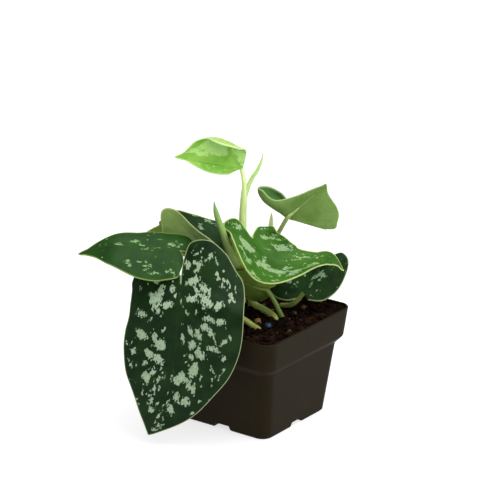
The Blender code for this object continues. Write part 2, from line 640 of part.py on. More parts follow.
def add_sheath(stem, name):
    """Join on the pointed sheath that stands beside a stem, where it has one."""
    if name in SHEATHS:
        combine(stem, tube("sheath", SHEATHS[name]["points"], SHEATHS[name]["radii"]), "UNION")


def build_plant():
    stems = []
    blades = [(name, leaf, Blade(leaf)) for name, leaf in LEAVES.items()]
    blades += [(name, leaf, CurledBlade(leaf)) for name, leaf in CURLED_LEAVES.items()]
    for name, leaf, blade in blades:
        material = plastic(name + "_green", leaf["colour"], 0.5)
        points, radii = petiole_path(leaf, blade)
        whole = combine(blade_object(name, blade, material), tube("petiole", points, radii), "UNION")
        add_sheath(whole, name)
        stems.append((points, radii))
    for name, shoot in SHOOTS.items():
        material = plastic(name + "_green", shoot["colour"], 0.45)
        add_sheath(tube(name, shoot["points"], shoot["radii"], material), name)
        stems.append((shoot["points"], shoot["radii"]))
    tube("stem_stub", STUB["points"], STUB["radii"], plastic("dry_cut_stem", (0.250, 0.130, 0.050), 0.8))
    stems.append((STUB["points"], STUB["radii"]))
    return stems


remove_everything()
build_pot()
soil_stems = build_plant()
build_soil(soil_stems)
bead_x, bead_y, _ = to_world((*BEAD_PLACE, 0))
sphere("fertiliser_bead", (bead_x, bead_y, soil_height(bead_x, bead_y) + BEAD_RADIUS * 0.6), BEAD_RADIUS,
       plastic("blue_coated_fertiliser", (0.010, 0.120, 0.190), 0.5))
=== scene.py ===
# The looks of a potted satin pothos, a young Scindapsus pictus in a black nursery pot, in the order in which
# a grower puts it together: pot, peat, stems, leaves, and then the studio round it. Sizes are millimetres.

from math import cos, pi, radians, sin

import bmesh
import bpy
import numpy as np
from mathutils import Matrix, Vector, noise


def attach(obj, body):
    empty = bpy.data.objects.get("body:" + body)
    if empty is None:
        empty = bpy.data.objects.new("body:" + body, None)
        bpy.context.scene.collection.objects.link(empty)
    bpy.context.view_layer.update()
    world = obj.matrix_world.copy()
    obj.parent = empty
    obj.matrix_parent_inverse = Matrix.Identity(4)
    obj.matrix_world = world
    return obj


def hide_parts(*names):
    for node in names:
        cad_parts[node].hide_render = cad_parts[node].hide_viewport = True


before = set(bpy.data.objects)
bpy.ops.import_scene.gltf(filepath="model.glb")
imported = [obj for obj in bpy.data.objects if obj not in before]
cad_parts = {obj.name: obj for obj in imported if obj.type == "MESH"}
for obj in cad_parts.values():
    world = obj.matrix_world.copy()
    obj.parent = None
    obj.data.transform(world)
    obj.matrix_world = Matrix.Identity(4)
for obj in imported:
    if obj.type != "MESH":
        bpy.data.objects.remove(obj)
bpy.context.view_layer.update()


# The pot: a thin square pot of black recycled polypropylene, injection moulded in one piece, with a satin
# skin that is a little brown where light rakes it. Handling has left faint scuffs, and the mould has left a
# fine grain in its surface.
MM = 0.001


def linear(code):
    """An sRGB hex colour in Blender's linear values."""
    parts = [int(code[i:i + 2], 16) / 255 for i in (1, 3, 5)]
    return [c / 12.92 if c <= 0.04045 else ((c + 0.055) / 1.055) ** 2.4 for c in parts] + [1.0]


def finish_named(name, **sockets):
    """A material with its constant values on the shader's own sockets; returns it and its shader."""
    material = bpy.data.materials.new(name)
    material.use_nodes = True
    shader = material.node_tree.nodes["Principled BSDF"]
    for socket, value in sockets.items():
        shader.inputs[socket.replace("_", " ")].default_value = value
    return material, shader


def add(material, kind, settings, links=None):
    """One more node, with settings and links by the name or number of a property or socket."""
    node = material.node_tree.nodes.new("ShaderNode" + kind)
    for name, value in settings.items():
        if isinstance(name, str) and hasattr(node, name):
            setattr(node, name, value)
        else:
            node.inputs[name].default_value = value
    for name, source in (links or {}).items():
        material.node_tree.links.new(source, node.inputs[name])
    return node


def join(material, source, socket):
    material.node_tree.links.new(source, socket)


black_plastic, shader = finish_named("black_polypropylene_moulded_satin", Metallic=0.0, IOR=1.49,
                                     Specular_IOR_Level=0.07)
place = add(black_plastic, "TexCoord", {}).outputs["Object"]
# cloudy pigment, about 18 mm from patch to patch
clouds = add(black_plastic, "TexNoise", {"Scale": 1000 / 18, "Detail": 4.0, "Roughness": 0.6},
             {"Vector": place})
# upright scuffs, 1.5 mm wide and a few centimetres long
upright = add(black_plastic, "Mapping", {"Scale": (1000 / 1.5, 1000 / 1.5, 1000 / 30)}, {"Vector": place})
scuffs = add(black_plastic, "TexNoise", {"Scale": 1.0, "Detail": 3.0, "Roughness": 0.7},
             {"Vector": upright.outputs[0]})
skin = add(black_plastic, "Mix", {"data_type": "RGBA", 6: linear("#1a1405"), 7: linear("#201908")},
           {0: clouds.outputs[0]})
rubbed = add(black_plastic, "MapRange", {"From Min": 0.55, "From Max": 0.85, "To Max": 0.5},
             {"Value": scuffs.outputs[0]})
worn = add(black_plastic, "Mix", {"data_type": "RGBA", 7: linear("#2c2415")},
           {0: rubbed.outputs[0], 6: skin.outputs[2]})
join(black_plastic, worn.outputs[2], shader.inputs["Base Color"])
dullness = add(black_plastic, "MapRange", {"To Min": 0.5, "To Max": 0.62}, {"Value": scuffs.outputs[0]})
join(black_plastic, dullness.outputs[0], shader.inputs["Roughness"])
# spark texture of the mould, 0.5 mm grains
grain = add(black_plastic, "TexNoise", {"Scale": 1000 / 0.5, "Detail": 2.0}, {"Vector": place})
dents = add(black_plastic, "Bump", {"Strength": 0.25, "Distance": 0.00008}, {"Height": grain.outputs[0]})
join(black_plastic, dents.outputs[0], shader.inputs["Normal"])
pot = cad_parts["pot"]
pot.data.materials.clear()
pot.data.materials.append(black_plastic)


# The soil: dark peat with crumbs of bark, wood and coir up to a few millimetres, filled to just under the
# rim and never levelled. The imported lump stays, and a finely broken surface lies on its top.
SOIL_LEVEL = 72.6
SOIL_HALF = 47.0
SOIL_CORNER = 7.5
CRUMB_COUNT = 1500
CLOD_SIZE = 4.5
CLOD_HEIGHT = 0.8
CLOD_LIFT = 0.2
PEAT_CEILING = 75.0


def soil_height(x, y):
    """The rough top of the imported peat, as in the solid under it."""
    waves = sin(0.31 * x + 0.9) * cos(0.27 * y) + 0.8 * sin(0.47 * y - 0.2 * x)
    waves += 0.6 * cos(0.83 * x + 0.35 * y)
    crumbs = 0.55 * sin(1.9 * x + 0.4 * y) * cos(1.6 * y - 0.7 * x)
    back = 0.6 * max(0.0, min(1.0, (x + y) / 60))
    return SOIL_LEVEL + 0.45 * waves + crumbs + back


def show(name, work, finishes, smooth=True):
    """Turns a finished bmesh into an object of the scene, with its finishes."""
    mesh = bpy.data.meshes.new(name)
    work.to_mesh(mesh)
    work.free()
    if smooth:
        mesh.shade_smooth()
    for finish in finishes:
        mesh.materials.append(finish)
    piece = bpy.data.objects.new(name, mesh)
    bpy.context.scene.collection.objects.link(piece)
    return piece


def lay_sheet(name, columns, rows, place, finishes):
    """A fine grid whose corners go where place(u, v) says, in millimetres; it also gives the sheet's own
    flat map and values that its materials read, with a small relief along the surface's normal."""
    work = bmesh.new()
    bmesh.ops.create_grid(work, x_segments=columns, y_segments=rows, size=0.5)
    at = np.array([tuple(v.co) for v in work.verts]) + 0.5
    points, flat, marks = place(at[:, 0], at[:, 1])
    relief = work.verts.layers.float.new("relief")
    layers = [(work.verts.layers.float.new(key), values) for key, values in marks.items() if key != "relief"]
    lift = marks.get("relief", np.zeros(len(at)))
    for i, vert in enumerate(work.verts):
        vert.co = Vector(points[i]) * MM
        vert[relief] = lift[i]
        for layer, values in layers:
            vert[layer] = values[i]
    chart = work.loops.layers.uv.new("UVMap")
    for face in work.faces:
        for loop in face.loops:
            loop[chart].uv = flat[loop.vert.index] * 0.01
    bmesh.ops.remove_doubles(work, verts=work.verts, dist=1e-6)
    work.normal_update()
    moves = [vert.normal * (vert[relief] * MM) for vert in work.verts]
    for vert, move in zip(work.verts, moves):
        vert.co += move
    return show(name, work, finishes)


def broken_ground(u, v):
    x = (2 * u - 1) * SOIL_HALF
    y = (2 * v - 1) * SOIL_HALF
    inner = SOIL_HALF - SOIL_CORNER
    over_x, over_y = np.maximum(np.abs(x) - inner, 0), np.maximum(np.abs(y) - inner, 0)
    reach = np.maximum(np.maximum(over_x, over_y), 1e-9) / np.maximum(np.hypot(over_x, over_y), 1e-9)
    in_corner = (over_x > 0) & (over_y > 0)
    x = np.where(in_corner, np.sign(x) * (inner + over_x * reach), x)
    y = np.where(in_corner, np.sign(y) * (inner + over_y * reach), y)
    z = []
    for a, b in zip(x, y):
        clods = noise.fractal(Vector((a, b, 0)) / CLOD_SIZE, 0.7, 2.2, 5)
        z.append(soil_height(a, b) + CLOD_LIFT + CLOD_HEIGHT * clods)
    points = np.stack([x, y, np.minimum(z, PEAT_CEILING)], 1)
    return points, points[:, :2], {}


peat, shader = finish_named("peat_damp_loose", Metallic=0.0, IOR=1.4, Roughness=0.9,
                            Specular_IOR_Level=0.1)
place = add(peat, "TexCoord", {}).outputs["Object"]
tone = add(peat, "Attribute", {"attribute_name": "tone"})
# fibres and crumbs of about 2 mm, from near black through reddish bark
bits = add(peat, "TexNoise", {"Scale": 1000 / 2.2, "Detail": 6.0, "Roughness": 0.7}, {"Vector": place})
damp = add(peat, "MapRange", {"From Min": 0.35, "From Max": 0.68}, {"Value": bits.outputs[0]})
earth = add(peat, "Mix", {"data_type": "RGBA", 6: linear("#080302"), 7: linear("#1c0e07")},
            {0: damp.outputs[0]})
reddish = add(peat, "MapRange", {"From Min": 0.45, "From Max": 0.8}, {"Value": tone.outputs["Fac"]})
bark = add(peat, "Mix", {"data_type": "RGBA", 7: linear("#2b150c")},
           {0: reddish.outputs[0], 6: earth.outputs[2]})
dry = add(peat, "MapRange", {"From Min": 0.965, "From Max": 0.985}, {"Value": tone.outputs["Fac"]})
chips = add(peat, "Mix", {"data_type": "RGBA", 7: linear("#84683f")}, {0: dry.outputs[0], 6: bark.outputs[2]})
join(peat, chips.outputs[2], shader.inputs["Base Color"])
rough = add(peat, "Bump", {"Strength": 0.9, "Distance": 0.0006}, {"Height": bits.outputs[0]})
join(peat, rough.outputs[0], shader.inputs["Normal"])
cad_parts["soil"].data.materials.clear()
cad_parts["soil"].data.materials.append(peat)
ground = lay_sheet("peat_surface", 150, 150, broken_ground, [peat])
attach(ground, "root")

chance = np.random.default_rng(11)
crumbs = bmesh.new()
crumb_tone = crumbs.verts.layers.float.new("tone")
for index in range(CRUMB_COUNT):
    size = 0.45 + 1.5 * chance.random() ** 2.5
    x, y = chance.uniform(-1, 1, 2) * (SOIL_HALF - 1.0 - size)
    long, thick = 1 + 1.2 * chance.random() ** 3, 0.55 + 0.3 * chance.random()
    detail = 2 if size > 0.9 else 1
    grain_verts = bmesh.ops.create_icosphere(crumbs, subdivisions=detail, radius=size * MM)["verts"]
    turn = Matrix.Rotation(chance.uniform(0, 2 * pi), 4, "Z") @ Matrix.Rotation(chance.normal(0, 0.5), 4, "X")
    shape = turn @ Matrix.Diagonal((long, 1, thick, 1))
    own = chance.random()
    for vert in grain_verts:
        bump = noise.noise(vert.co * 900 + Vector((index, 0, 0)))
        vert.co = shape @ (vert.co * (1 + 0.45 * bump))
        vert.co += Vector((x, y, soil_height(x, y) + 0.5 + 0.3 * size)) * MM
        vert[crumb_tone] = own
loose = show("peat_crumbs", crumbs, [peat], smooth=False)
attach(loose, "root")


# The slow-release fertiliser: one prill coated with blue resin, smooth and slightly out of round, lying
# in a dimple of the peat.
FACING = radians(36.2)
BEAD_RADIUS = 2.3
BEAD_PLACE = (9.8, 25.5)


def to_world(points):
    """Points given as (across, out, up), seen from the pot's front corner, in the pot's own axes."""
    p = np.asarray(points, dtype=float)
    x = p[..., 0] * cos(FACING) + p[..., 1] * sin(FACING)
    y = p[..., 0] * sin(FACING) - p[..., 1] * cos(FACING)
    return np.stack([x, y, p[..., 2]], -1)


blue_resin, shader = finish_named("resin_coated_prill_blue", Metallic=0.0, IOR=1.5, Roughness=0.45)
place = add(blue_resin, "TexCoord", {}).outputs["Object"]
mottle = add(blue_resin, "TexNoise", {"Scale": 1000 / 1.2, "Detail": 3.0}, {"Vector": place})
tint = add(blue_resin, "Mix", {"data_type": "RGBA", 6: linear("#0a3346"), 7: linear("#124d66")},
           {0: mottle.outputs[0]})
join(blue_resin, tint.outputs[2], shader.inputs["Base Color"])
pitting = add(blue_resin, "Bump", {"Strength": 0.4, "Distance": 0.0001}, {"Height": mottle.outputs[0]})
join(blue_resin, pitting.outputs[0], shader.inputs["Normal"])
bead_x, bead_y, _ = to_world((*BEAD_PLACE, 0))
work = bmesh.new()
bmesh.ops.create_icosphere(work, subdivisions=5, radius=BEAD_RADIUS * MM)
for vert in work.verts:
    vert.co *= 1 + 0.035 * noise.noise(vert.co * 700)
bmesh.ops.translate(work, verts=work.verts,
                    vec=Vector((bead_x, bead_y, soil_height(bead_x, bead_y) + BEAD_RADIUS * 0.6)) * MM)
bead = show("fertiliser_prill", work, [blue_resin])
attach(bead, "root")
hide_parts("fertiliser_bead")


# The shoots: fleshy stems, pale yellow green with a thin waxy skin, that end in the tightly rolled tip of
# the next leaf. Each grows up through the peat.
STEM_SIDES = 28
RING_STEP = 1.2


def unit(vectors):
    return vectors / np.linalg.norm(vectors, axis=-1, keepdims=True)


def smooth_curve(points, t):
    """A curve through all the points; t counts them, with fractions between."""
    p = np.asarray(points, dtype=float)
    p = p[:, None] if p.ndim == 1 else p
    t = np.clip(np.asarray(t, dtype=float), 0, len(p) - 1)
    i = np.minimum(t.astype(int), len(p) - 2)
    f = (t - i)[:, None]
    ends = np.vstack([2 * p[0] - p[1], p, 2 * p[-1] - p[-2]])
    a, b, c, d = ends[i], ends[i + 1], ends[i + 2], ends[i + 3]
    return 0.5 * (2 * b + (c - a) * f + (2 * a - 5 * b + 4 * c - d) * f**2 + (3 * b - a - 3 * c + d) * f**3)


def run_of(curve):
    """The distance along a curve at each of its points."""
    return np.concatenate([[0], np.cumsum(np.linalg.norm(np.diff(curve, axis=0), axis=1))])


def between(at, stations, values):
    """The rows of values at the places given, read straight between their stations."""
    return np.stack([np.interp(at, stations, column) for column in values.T], 1)


def stem_finish(name, low, high, tip):
    """Living stem: a translucent green skin with fine lengthwise veins, from its foot to its tip."""
    stem, shader = finish_named(name, Metallic=0.0, IOR=1.42, Roughness=0.42, Subsurface_Weight=0.15,
                                Subsurface_Scale=0.002)
    height = add(stem, "Attribute", {"attribute_name": "share"})
    upper = add(stem, "MapRange", {"From Min": 0.15, "From Max": 0.55}, {"Value": height.outputs["Fac"]})
    last = add(stem, "MapRange", {"From Min": 0.75, "From Max": 1.0}, {"Value": height.outputs["Fac"]})
    green = add(stem, "Mix", {"data_type": "RGBA", 6: linear(low), 7: linear(high)}, {0: upper.outputs[0]})
    ended = add(stem, "Mix", {"data_type": "RGBA", 7: linear(tip)}, {0: last.outputs[0], 6: green.outputs[2]})
    chart = add(stem, "UVMap", {"uv_map": "UVMap"})
    # veins 0.7 mm apart round the stem and some 15 mm long
    along = add(stem, "Mapping", {"Scale": (100 / 0.7, 100 / 15, 1)}, {"Vector": chart.outputs[0]})
    veins = add(stem, "TexNoise", {"Scale": 1.0, "Detail": 2.0}, {"Vector": along.outputs[0]})
    shade = add(stem, "MapRange", {"From Min": 0.3, "From Max": 0.7, "To Min": 0.86, "To Max": 1.1},
                {"Value": veins.outputs[0]})
    toned = add(stem, "VectorMath", {"operation": "SCALE"}, {0: ended.outputs[2], "Scale": shade.outputs[0]})
    join(stem, toned.outputs[0], shader.inputs["Base Color"])
    ribs = add(stem, "Bump", {"Strength": 0.3, "Distance": 0.0002}, {"Height": veins.outputs[0]})
    join(stem, ribs.outputs[0], shader.inputs["Normal"])
    return stem


def grow_stem(name, points, radii, finish):
    """A round stem through world points, with its radii spread over them, closed to a point at both ends."""
    fine = np.linspace(0, len(points) - 1, 40 * len(points))
    dense = np.hstack([smooth_curve(points, fine), smooth_curve(radii, fine)])
    run = run_of(dense[:, :3])
    rows = max(8, round(run[-1] / RING_STEP))
    stations = np.linspace(0, run[-1], 4 * rows + 1)
    centre = between(stations, run, dense[:, :3])
    radius = np.interp(stations, run, dense[:, 3])
    along = unit(np.gradient(centre, axis=0))
    side = unit(np.cross(along[0], (0.35, 0.9, 0.1)))
    sides = []
    for t in along:
        side = unit(side - np.dot(side, t) * t)
        sides.append(side)
    sides = np.array(sides)
    others = np.cross(along, sides)

    def place(u, v):
        s = v * run[-1]
        r = np.interp(s, stations, radius) * np.where((v < 1e-6) | (v > 1 - 1e-6), 0.0, 1.0)
        a = 2 * pi * u
        core, near, far = [between(s, stations, values) for values in (centre, sides, others)]
        ring = np.cos(a)[:, None] * near + np.sin(a)[:, None] * far
        flat = np.stack([u * 2 * pi * radius.max(), s], 1)
        return core + r[:, None] * ring, flat, {"share": v}

    stem = lay_sheet(name, STEM_SIDES, rows, place, [finish])
    work = bmesh.new()
    work.from_mesh(stem.data)
    bmesh.ops.recalc_face_normals(work, faces=work.faces)
    work.to_mesh(stem.data)
    work.free()
    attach(stem, "root")
    return stem


rolled_leaf = stem_finish("young_stem_waxy_green", "#a3b25c", "#9bb865", "#729b4d")
middle_points = [(15.5, 11, 60), (15, 10.5, 72.5), (11, 4, 75), (6, -1.5, 76), (0.5, -6, 78),
                 (-5.5, -6.5, 88), (-9.5, -3, 98.5), (-11.5, 1.5, 109), (-15, 4.5, 117), (-18.5, 6.6, 126),
                 (-21.4, 8.1, 136.5), (-23.8, 8.6, 144), (-25.4, 9, 150), (-26.2, 9, 154), (-26.7, 9, 158)]
middle = grow_stem("middle_shoot", to_world(middle_points),
                   [2.3, 2.4, 2.4, 2.4, 2.4, 2.4, 2.6, 3.1, 3.0, 2.6, 2.4, 2.1, 1.7, 0.9, 0.2], rolled_leaf)
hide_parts("shoot_middle")

soft_sheath = stem_finish("sheath_soft_yellow_green", "#a6c840", "#b0d24c", "#a0c652")
sheath_points = [(-8, -4, 92), (-8, -1.5, 103), (-9.5, 1, 113), (-12.5, 3, 122), (-16.5, 5, 131)]
middle_sheath = grow_stem("middle_sheath", to_world(sheath_points), [2.0, 3.1, 3.0, 2.0, 0.5], soft_sheath)
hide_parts("shoot_middle")

pale_tip = stem_finish("young_stem_waxy_pale", "#cce287", "#d3ed9c", "#e9fbbb")
back_points = [(8, -41, 60), (9, -37, 90), (10.5, -28, 115), (11.7, -22.5, 128), (12, -22, 133),
               (12.2, -21.5, 139)]
back = grow_stem("back_shoot", to_world(back_points), [2.0, 2.0, 1.9, 1.75, 1.4, 0.25], pale_tip)
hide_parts("shoot_back")


# The old stem: a stub left where the plant was cut, dried to brown, beside the front stem.
cut_wood, shader = finish_named("cut_stem_dry_fibrous", Metallic=0.0, IOR=1.4, Roughness=0.85)
place = add(cut_wood, "TexCoord", {}).outputs["Object"]
drawn = add(cut_wood, "Mapping", {"Scale": (1000 / 0.6, 1000 / 0.6, 1000 / 5)}, {"Vector": place})
fibres = add(cut_wood, "TexNoise", {"Scale": 1.0, "Detail": 4.0}, {"Vector": drawn.outputs[0]})
dried = add(cut_wood, "Mix", {"data_type": "RGBA", 6: linear("#5b3c20"), 7: linear("#a8804c")},
            {0: fibres.outputs[0]})
join(cut_wood, dried.outputs[2], shader.inputs["Base Color"])
split = add(cut_wood, "Bump", {"Strength": 0.7, "Distance": 0.0003}, {"Height": fibres.outputs[0]})
join(cut_wood, split.outputs[0], shader.inputs["Normal"])
stub = grow_stem("cut_stub", to_world([(4.5, 17, 63), (3.5, 18.5, 71), (2.5, 19.3, 76), (2.2, 19.5, 77.5)]),
                 [2.1, 2.2, 2.2, 2.1], cut_wood)
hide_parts("stem_stub")


# The front leaf: the oldest and largest blade, thick and nearly black green with a bloom that turns
# silver in large ragged patches, and a thin pale margin. It hangs over the front rim on a short petiole.
BLADE_THICKNESS = 0.7
BLADE_SPREAD = 0.9
LEAST_TURN = radians(0.05)
WIDEST_TURN = radians(177)
VEIN_STEP = 5.0


class Blade:
    """A heart outline laid on a bent midrib, with halves that rise and curl, as in the solid."""

    def __init__(self, leaf):
        self.leaf = leaf
        count = len(leaf["midrib"])
        t = np.linspace(0, count - 1, 24 * (count - 1) + 1)
        self.centre = smooth_curve(to_world(leaf["midrib"]), t)
        run = run_of(self.centre)
        self.run = run - np.interp(1, t, run)
        self.length = self.run[-1]
        self.along = unit(np.gradient(self.centre, axis=0))
        sides = to_world(leaf["right_side"])
        side = smooth_curve(sides, np.linspace(0, len(sides) - 1, len(t)))
        self.side = unit(side - np.sum(side * self.along, axis=1, keepdims=True) * self.along)
        self.up = np.cross(self.side, self.along)
        self.margins = [self.margin_curve(half) for half in (0, 1)]
        self.around = sum(run_of(margin)[-1] for margin in self.margins)

    def frame(self, y):
        """Point, side and upward directions at distances y along the midrib from the joint."""
        core, side, up = [between(y, self.run, values) for values in (self.centre, self.side, self.up)]
        short = np.minimum(y - self.run[0], 0)[:, None]
        past = np.maximum(y - self.length, 0)[:, None]
        return core + short * self.along[0] + past * self.along[-1], unit(side), unit(up)

    def profile(self, values, y):
        stations = np.linspace(-0.25 * self.length, self.length, len(values))
        return smooth_curve(values, np.interp(y, stations, np.arange(len(values))))[:, 0]

    def surface(self, half, x, y):
        """Points of one half, 0 left or 1 right, x across from the midrib and y along it."""
        centre, side, up = self.frame(y)
        rise = np.radians(self.profile(self.leaf["rise"][half], y))
        widest = max(p[0] for p in self.leaf[("left", "right")[half]])
        bend = np.radians(self.profile(self.leaf["curl"][half], y)) / widest
        bend = np.where(np.abs(bend) < 1e-6, 1e-6, bend)
        reach = (np.sin(rise + bend * x) - np.sin(rise)) / bend
        lift = (np.cos(rise) - np.cos(rise + bend * x)) / bend
        sign = (-1, 1)[half]
        return centre + sign * reach[:, None] * side + lift[:, None] * up

    def margin_curve(self, half):
        """The outline of one half, from the tip round to the joint, always turning the same way."""
        corners = np.array([(0.0, self.length)] + self.leaf[("left", "right")[half]] + [(0.0, 0.0)])
        curve = smooth_curve(corners, np.linspace(0, len(corners) - 1, 30 * len(corners)))[:-1]
        reach = np.hypot(curve[:, 0], curve[:, 1])
        turn = np.arctan2(np.maximum(curve[:, 0], 0), curve[:, 1])
        least = LEAST_TURN * np.arange(len(turn))
        turn = np.minimum(np.maximum.accumulate(turn - least) + least, WIDEST_TURN)
        return np.stack([reach * np.sin(turn), reach * np.cos(turn)], 1)

    def place(self, u, v):
        """World points and flat places; u runs round the margin from the right lobe to the left one."""
        points, flat = np.zeros((len(u), 3)), np.zeros((len(u), 2))
        for half, chosen in ((1, u <= 0.5), (0, u > 0.5)):
            margin = self.margins[half]
            run = run_of(margin)
            at = np.abs(2 * u[chosen] - 1) * run[-2]
            edge = between(at, run, margin)
            edge *= (v[chosen] ** BLADE_SPREAD)[:, None]
            points[chosen] = self.surface(half, edge[:, 0], edge[:, 1])
            flat[chosen] = edge * ((-1, 1)[half], 1)
        return points, flat

    def outline(self):
        """The whole margin in the flat map."""
        return np.vstack([self.margins[1][::-1], self.margins[0] * (-1, 1)])


def veined_green(leaf, cloud, low, high, tint, width, strength):
    """The green that both faces of a leaf start from: two shades that drift into each other in clouds,
    with side veins 5 mm apart, each a thin line of the tint. Returns places, drift, lines and colour."""
    place = add(leaf, "TexCoord", {}).outputs["Object"]
    drift = add(leaf, "TexNoise", cloud, {"Vector": place}).outputs[0]
    spread = add(leaf, "MapRange", {"From Min": 0.35, "From Max": 0.65}, {"Value": drift})
    green = add(leaf, "Mix", {"data_type": "RGBA", 6: linear(low), 7: linear(high)}, {0: spread.outputs[0]})
    vein = add(leaf, "Attribute", {"attribute_name": "vein"})
    astray = add(leaf, "Math", {"operation": "MULTIPLY_ADD", 1: 5.0}, {0: drift, 2: vein.outputs["Fac"]})
    gap = add(leaf, "Math", {"operation": "PINGPONG", 1: VEIN_STEP / 2}, {0: astray.outputs[0]})
    line = add(leaf, "MapRange", {"interpolation_type": "SMOOTHSTEP", "From Max": width, "To Min": strength,
                                  "To Max": 0.0}, {"Value": gap.outputs[0]}).outputs[0]
    veined = add(leaf, "Mix", {"data_type": "RGBA", 7: linear(tint)}, {0: line, 6: green.outputs[2]})
    return place, drift, line, veined.outputs[2]


def pale_rim(leaf, colour, full, gone, tint):
    """The pale margin over a leaf's colour; full and gone are millimetres from the edge."""
    rim = add(leaf, "Attribute", {"attribute_name": "rim"})
    share = add(leaf, "MapRange", {"interpolation_type": "SMOOTHSTEP", "From Min": full, "From Max": gone,
                                   "To Min": 1.0, "To Max": 0.0}, {"Value": rim.outputs["Fac"]})
    edged = add(leaf, "Mix", {"data_type": "RGBA", 7: linear(tint)}, {0: share.outputs[0], 6: colour})
    return edged.outputs[2]


def leaf_skin(name, dark, light, silver_and_highlight, pale, shine=0.12, border=0.9):
    """The upper face of a satin leaf: a waxy green skin, ragged patches where air under the skin turns it
    silver, sunken veins, and the pale cartilage of the margin; on the top leaf the large patches are painted
    highlight. It reads values that the blade carries."""
    skin, shader = finish_named(name, Metallic=0.0, IOR=1.45, Specular_IOR_Level=shine,
                                Subsurface_Weight=0.08, Subsurface_Scale=0.0015)
    # clouds 14 mm from patch to patch, veins about 0.5 mm wide
    place, drift, line, veined = veined_green(skin, {"Scale": 1000 / 14, "Detail": 3.0, "Roughness": 0.55},
                                              dark, light, light, 0.5, 0.12)
    rib = add(skin, "Attribute", {"attribute_name": "rib"})
    ribbed = add(skin, "MapRange", {"To Max": 0.35}, {"Value": rib.outputs["Fac"]})
    middle = add(skin, "Mix", {"data_type": "RGBA", 7: linear(light)}, {0: ribbed.outputs[0], 6: veined})
    # the silver keeps to the mesh of fine veins: cells 1 mm across and 1.8 mm along the leaf
    patch = add(skin, "Attribute", {"attribute_name": "silver_and_highlight"})
    chart = add(skin, "UVMap", {"uv_map": "UVMap"})
    drawn = add(skin, "Mapping", {"Scale": (100 / 1.0, 100 / 1.8, 1)}, {"Vector": chart.outputs[0]})
    cells = add(skin, "TexVoronoi", {"Scale": 1.0}, {"Vector": drawn.outputs[0]})
    worn = add(skin, "TexNoise", {"Scale": 0.6, "Detail": 3.0, "Roughness": 0.6},
               {"Vector": drawn.outputs[0]})
    chance = add(skin, "Math", {"operation": "MULTIPLY_ADD", 1: 2.6, 2: -3.72}, {0: cells.outputs["Color"]})
    ragged = add(skin, "Math", {"operation": "MULTIPLY_ADD", 1: 4.0},
                 {0: worn.outputs[0], 2: chance.outputs[0]})
    edge = add(skin, "Math", {"operation": "ADD"}, {0: patch.outputs["Fac"], 1: ragged.outputs[0]})
    mask = add(skin, "MapRange", {"interpolation_type": "SMOOTHSTEP", "From Min": -0.12, "From Max": 0.12},
               {"Value": edge.outputs[0]})
    # satin grain inside the silver, 1.2 mm, coarse enough to show
    satin = add(skin, "TexNoise", {"Scale": 1000 / 1.2, "Detail": 3.0}, {"Vector": place})
    grain = add(skin, "MapRange", {"From Min": 0.32, "From Max": 0.62, "To Min": 0.66, "To Max": 1.0},
                {"Value": satin.outputs[0]})
    strength = add(skin, "Math", {"operation": "MULTIPLY"}, {0: mask.outputs[0], 1: grain.outputs[0]})
    # on part of the leaf the silver leans a little towards the margin's tint
    thin = add(skin, "MapRange", {"From Min": 0.4, "From Max": 0.7, "To Max": 0.3}, {"Value": drift})
    # the patch colour is silver, and on the top leaf it is also a painted highlight
    silver_and_highlight_tint = add(skin, "Mix", {"data_type": "RGBA", 6: linear(silver_and_highlight), 7: linear(pale)}, {0: thin.outputs[0]})
    silver_and_highlight_laid = add(skin, "Mix", {"data_type": "RGBA"},
                   {0: strength.outputs[0], 6: middle.outputs[2], 7: silver_and_highlight_tint.outputs[2]})
    join(skin, pale_rim(skin, silver_and_highlight_laid.outputs[2], 0.25, border, pale), shader.inputs["Base Color"])
    dull = add(skin, "MapRange", {"To Min": 0.45, "To Max": 0.57}, {"Value": strength.outputs[0]})
    join(skin, dull.outputs[0], shader.inputs["Roughness"])
    sunk = add(skin, "Math", {"operation": "MULTIPLY_ADD", 1: 0.25}, {0: satin.outputs[0], 2: line})
    skin_bump = add(skin, "Bump", {"Strength": 0.35, "Distance": 0.00012, "invert": True},
                    {"Height": sunk.outputs[0]})
    join(skin, skin_bump.outputs[0], shader.inputs["Normal"])
    return skin


def leaf_back(name, base, light, pale):
    """The under face: the same leaf without silver, paler and matt, with raised veins that show faintly."""
    under, shader = finish_named(name, Metallic=0.0, IOR=1.42, Roughness=0.6, Specular_IOR_Level=0.15,
                                 Subsurface_Weight=0.08, Subsurface_Scale=0.0015)
    # clouds 11 mm from patch to patch
    place, _, line, veined = veined_green(under, {"Scale": 1000 / 11, "Detail": 4.0, "Roughness": 0.6},
                                          base, light, pale, 0.45, 0.14)
    join(under, pale_rim(under, veined, 0.2, 0.8, pale), shader.inputs["Base Color"])
    fine = add(under, "TexNoise", {"Scale": 1000 / 0.7, "Detail": 2.0}, {"Vector": place})
    raised = add(under, "Math", {"operation": "MULTIPLY_ADD", 1: 0.3}, {0: fine.outputs[0], 2: line})
    bump = add(under, "Bump", {"Strength": 0.35, "Distance": 0.00012}, {"Height": raised.outputs[0]})
    join(under, bump.outputs[0], shader.inputs["Normal"])
    return under


def leaf_edge(name, pale):
    """The cut face of the margin: a rounded pale cartilage."""
    edge, shader = finish_named(name, Metallic=0.0, IOR=1.45, Roughness=0.4, Subsurface_Weight=0.2,
                                Subsurface_Scale=0.002)
    place = add(edge, "TexCoord", {}).outputs["Object"]
    drift = add(edge, "TexNoise", {"Scale": 1000 / 6, "Detail": 2.0}, {"Vector": place})
    shade = add(edge, "MapRange", {"To Min": 0.75, "To Max": 1.15}, {"Value": drift.outputs[0]})
    tint = add(edge, "VectorMath", {"operation": "SCALE", 0: linear(pale)[:3]}, {"Scale": shade.outputs[0]})
    join(edge, tint.outputs[0], shader.inputs["Base Color"])
    return edge


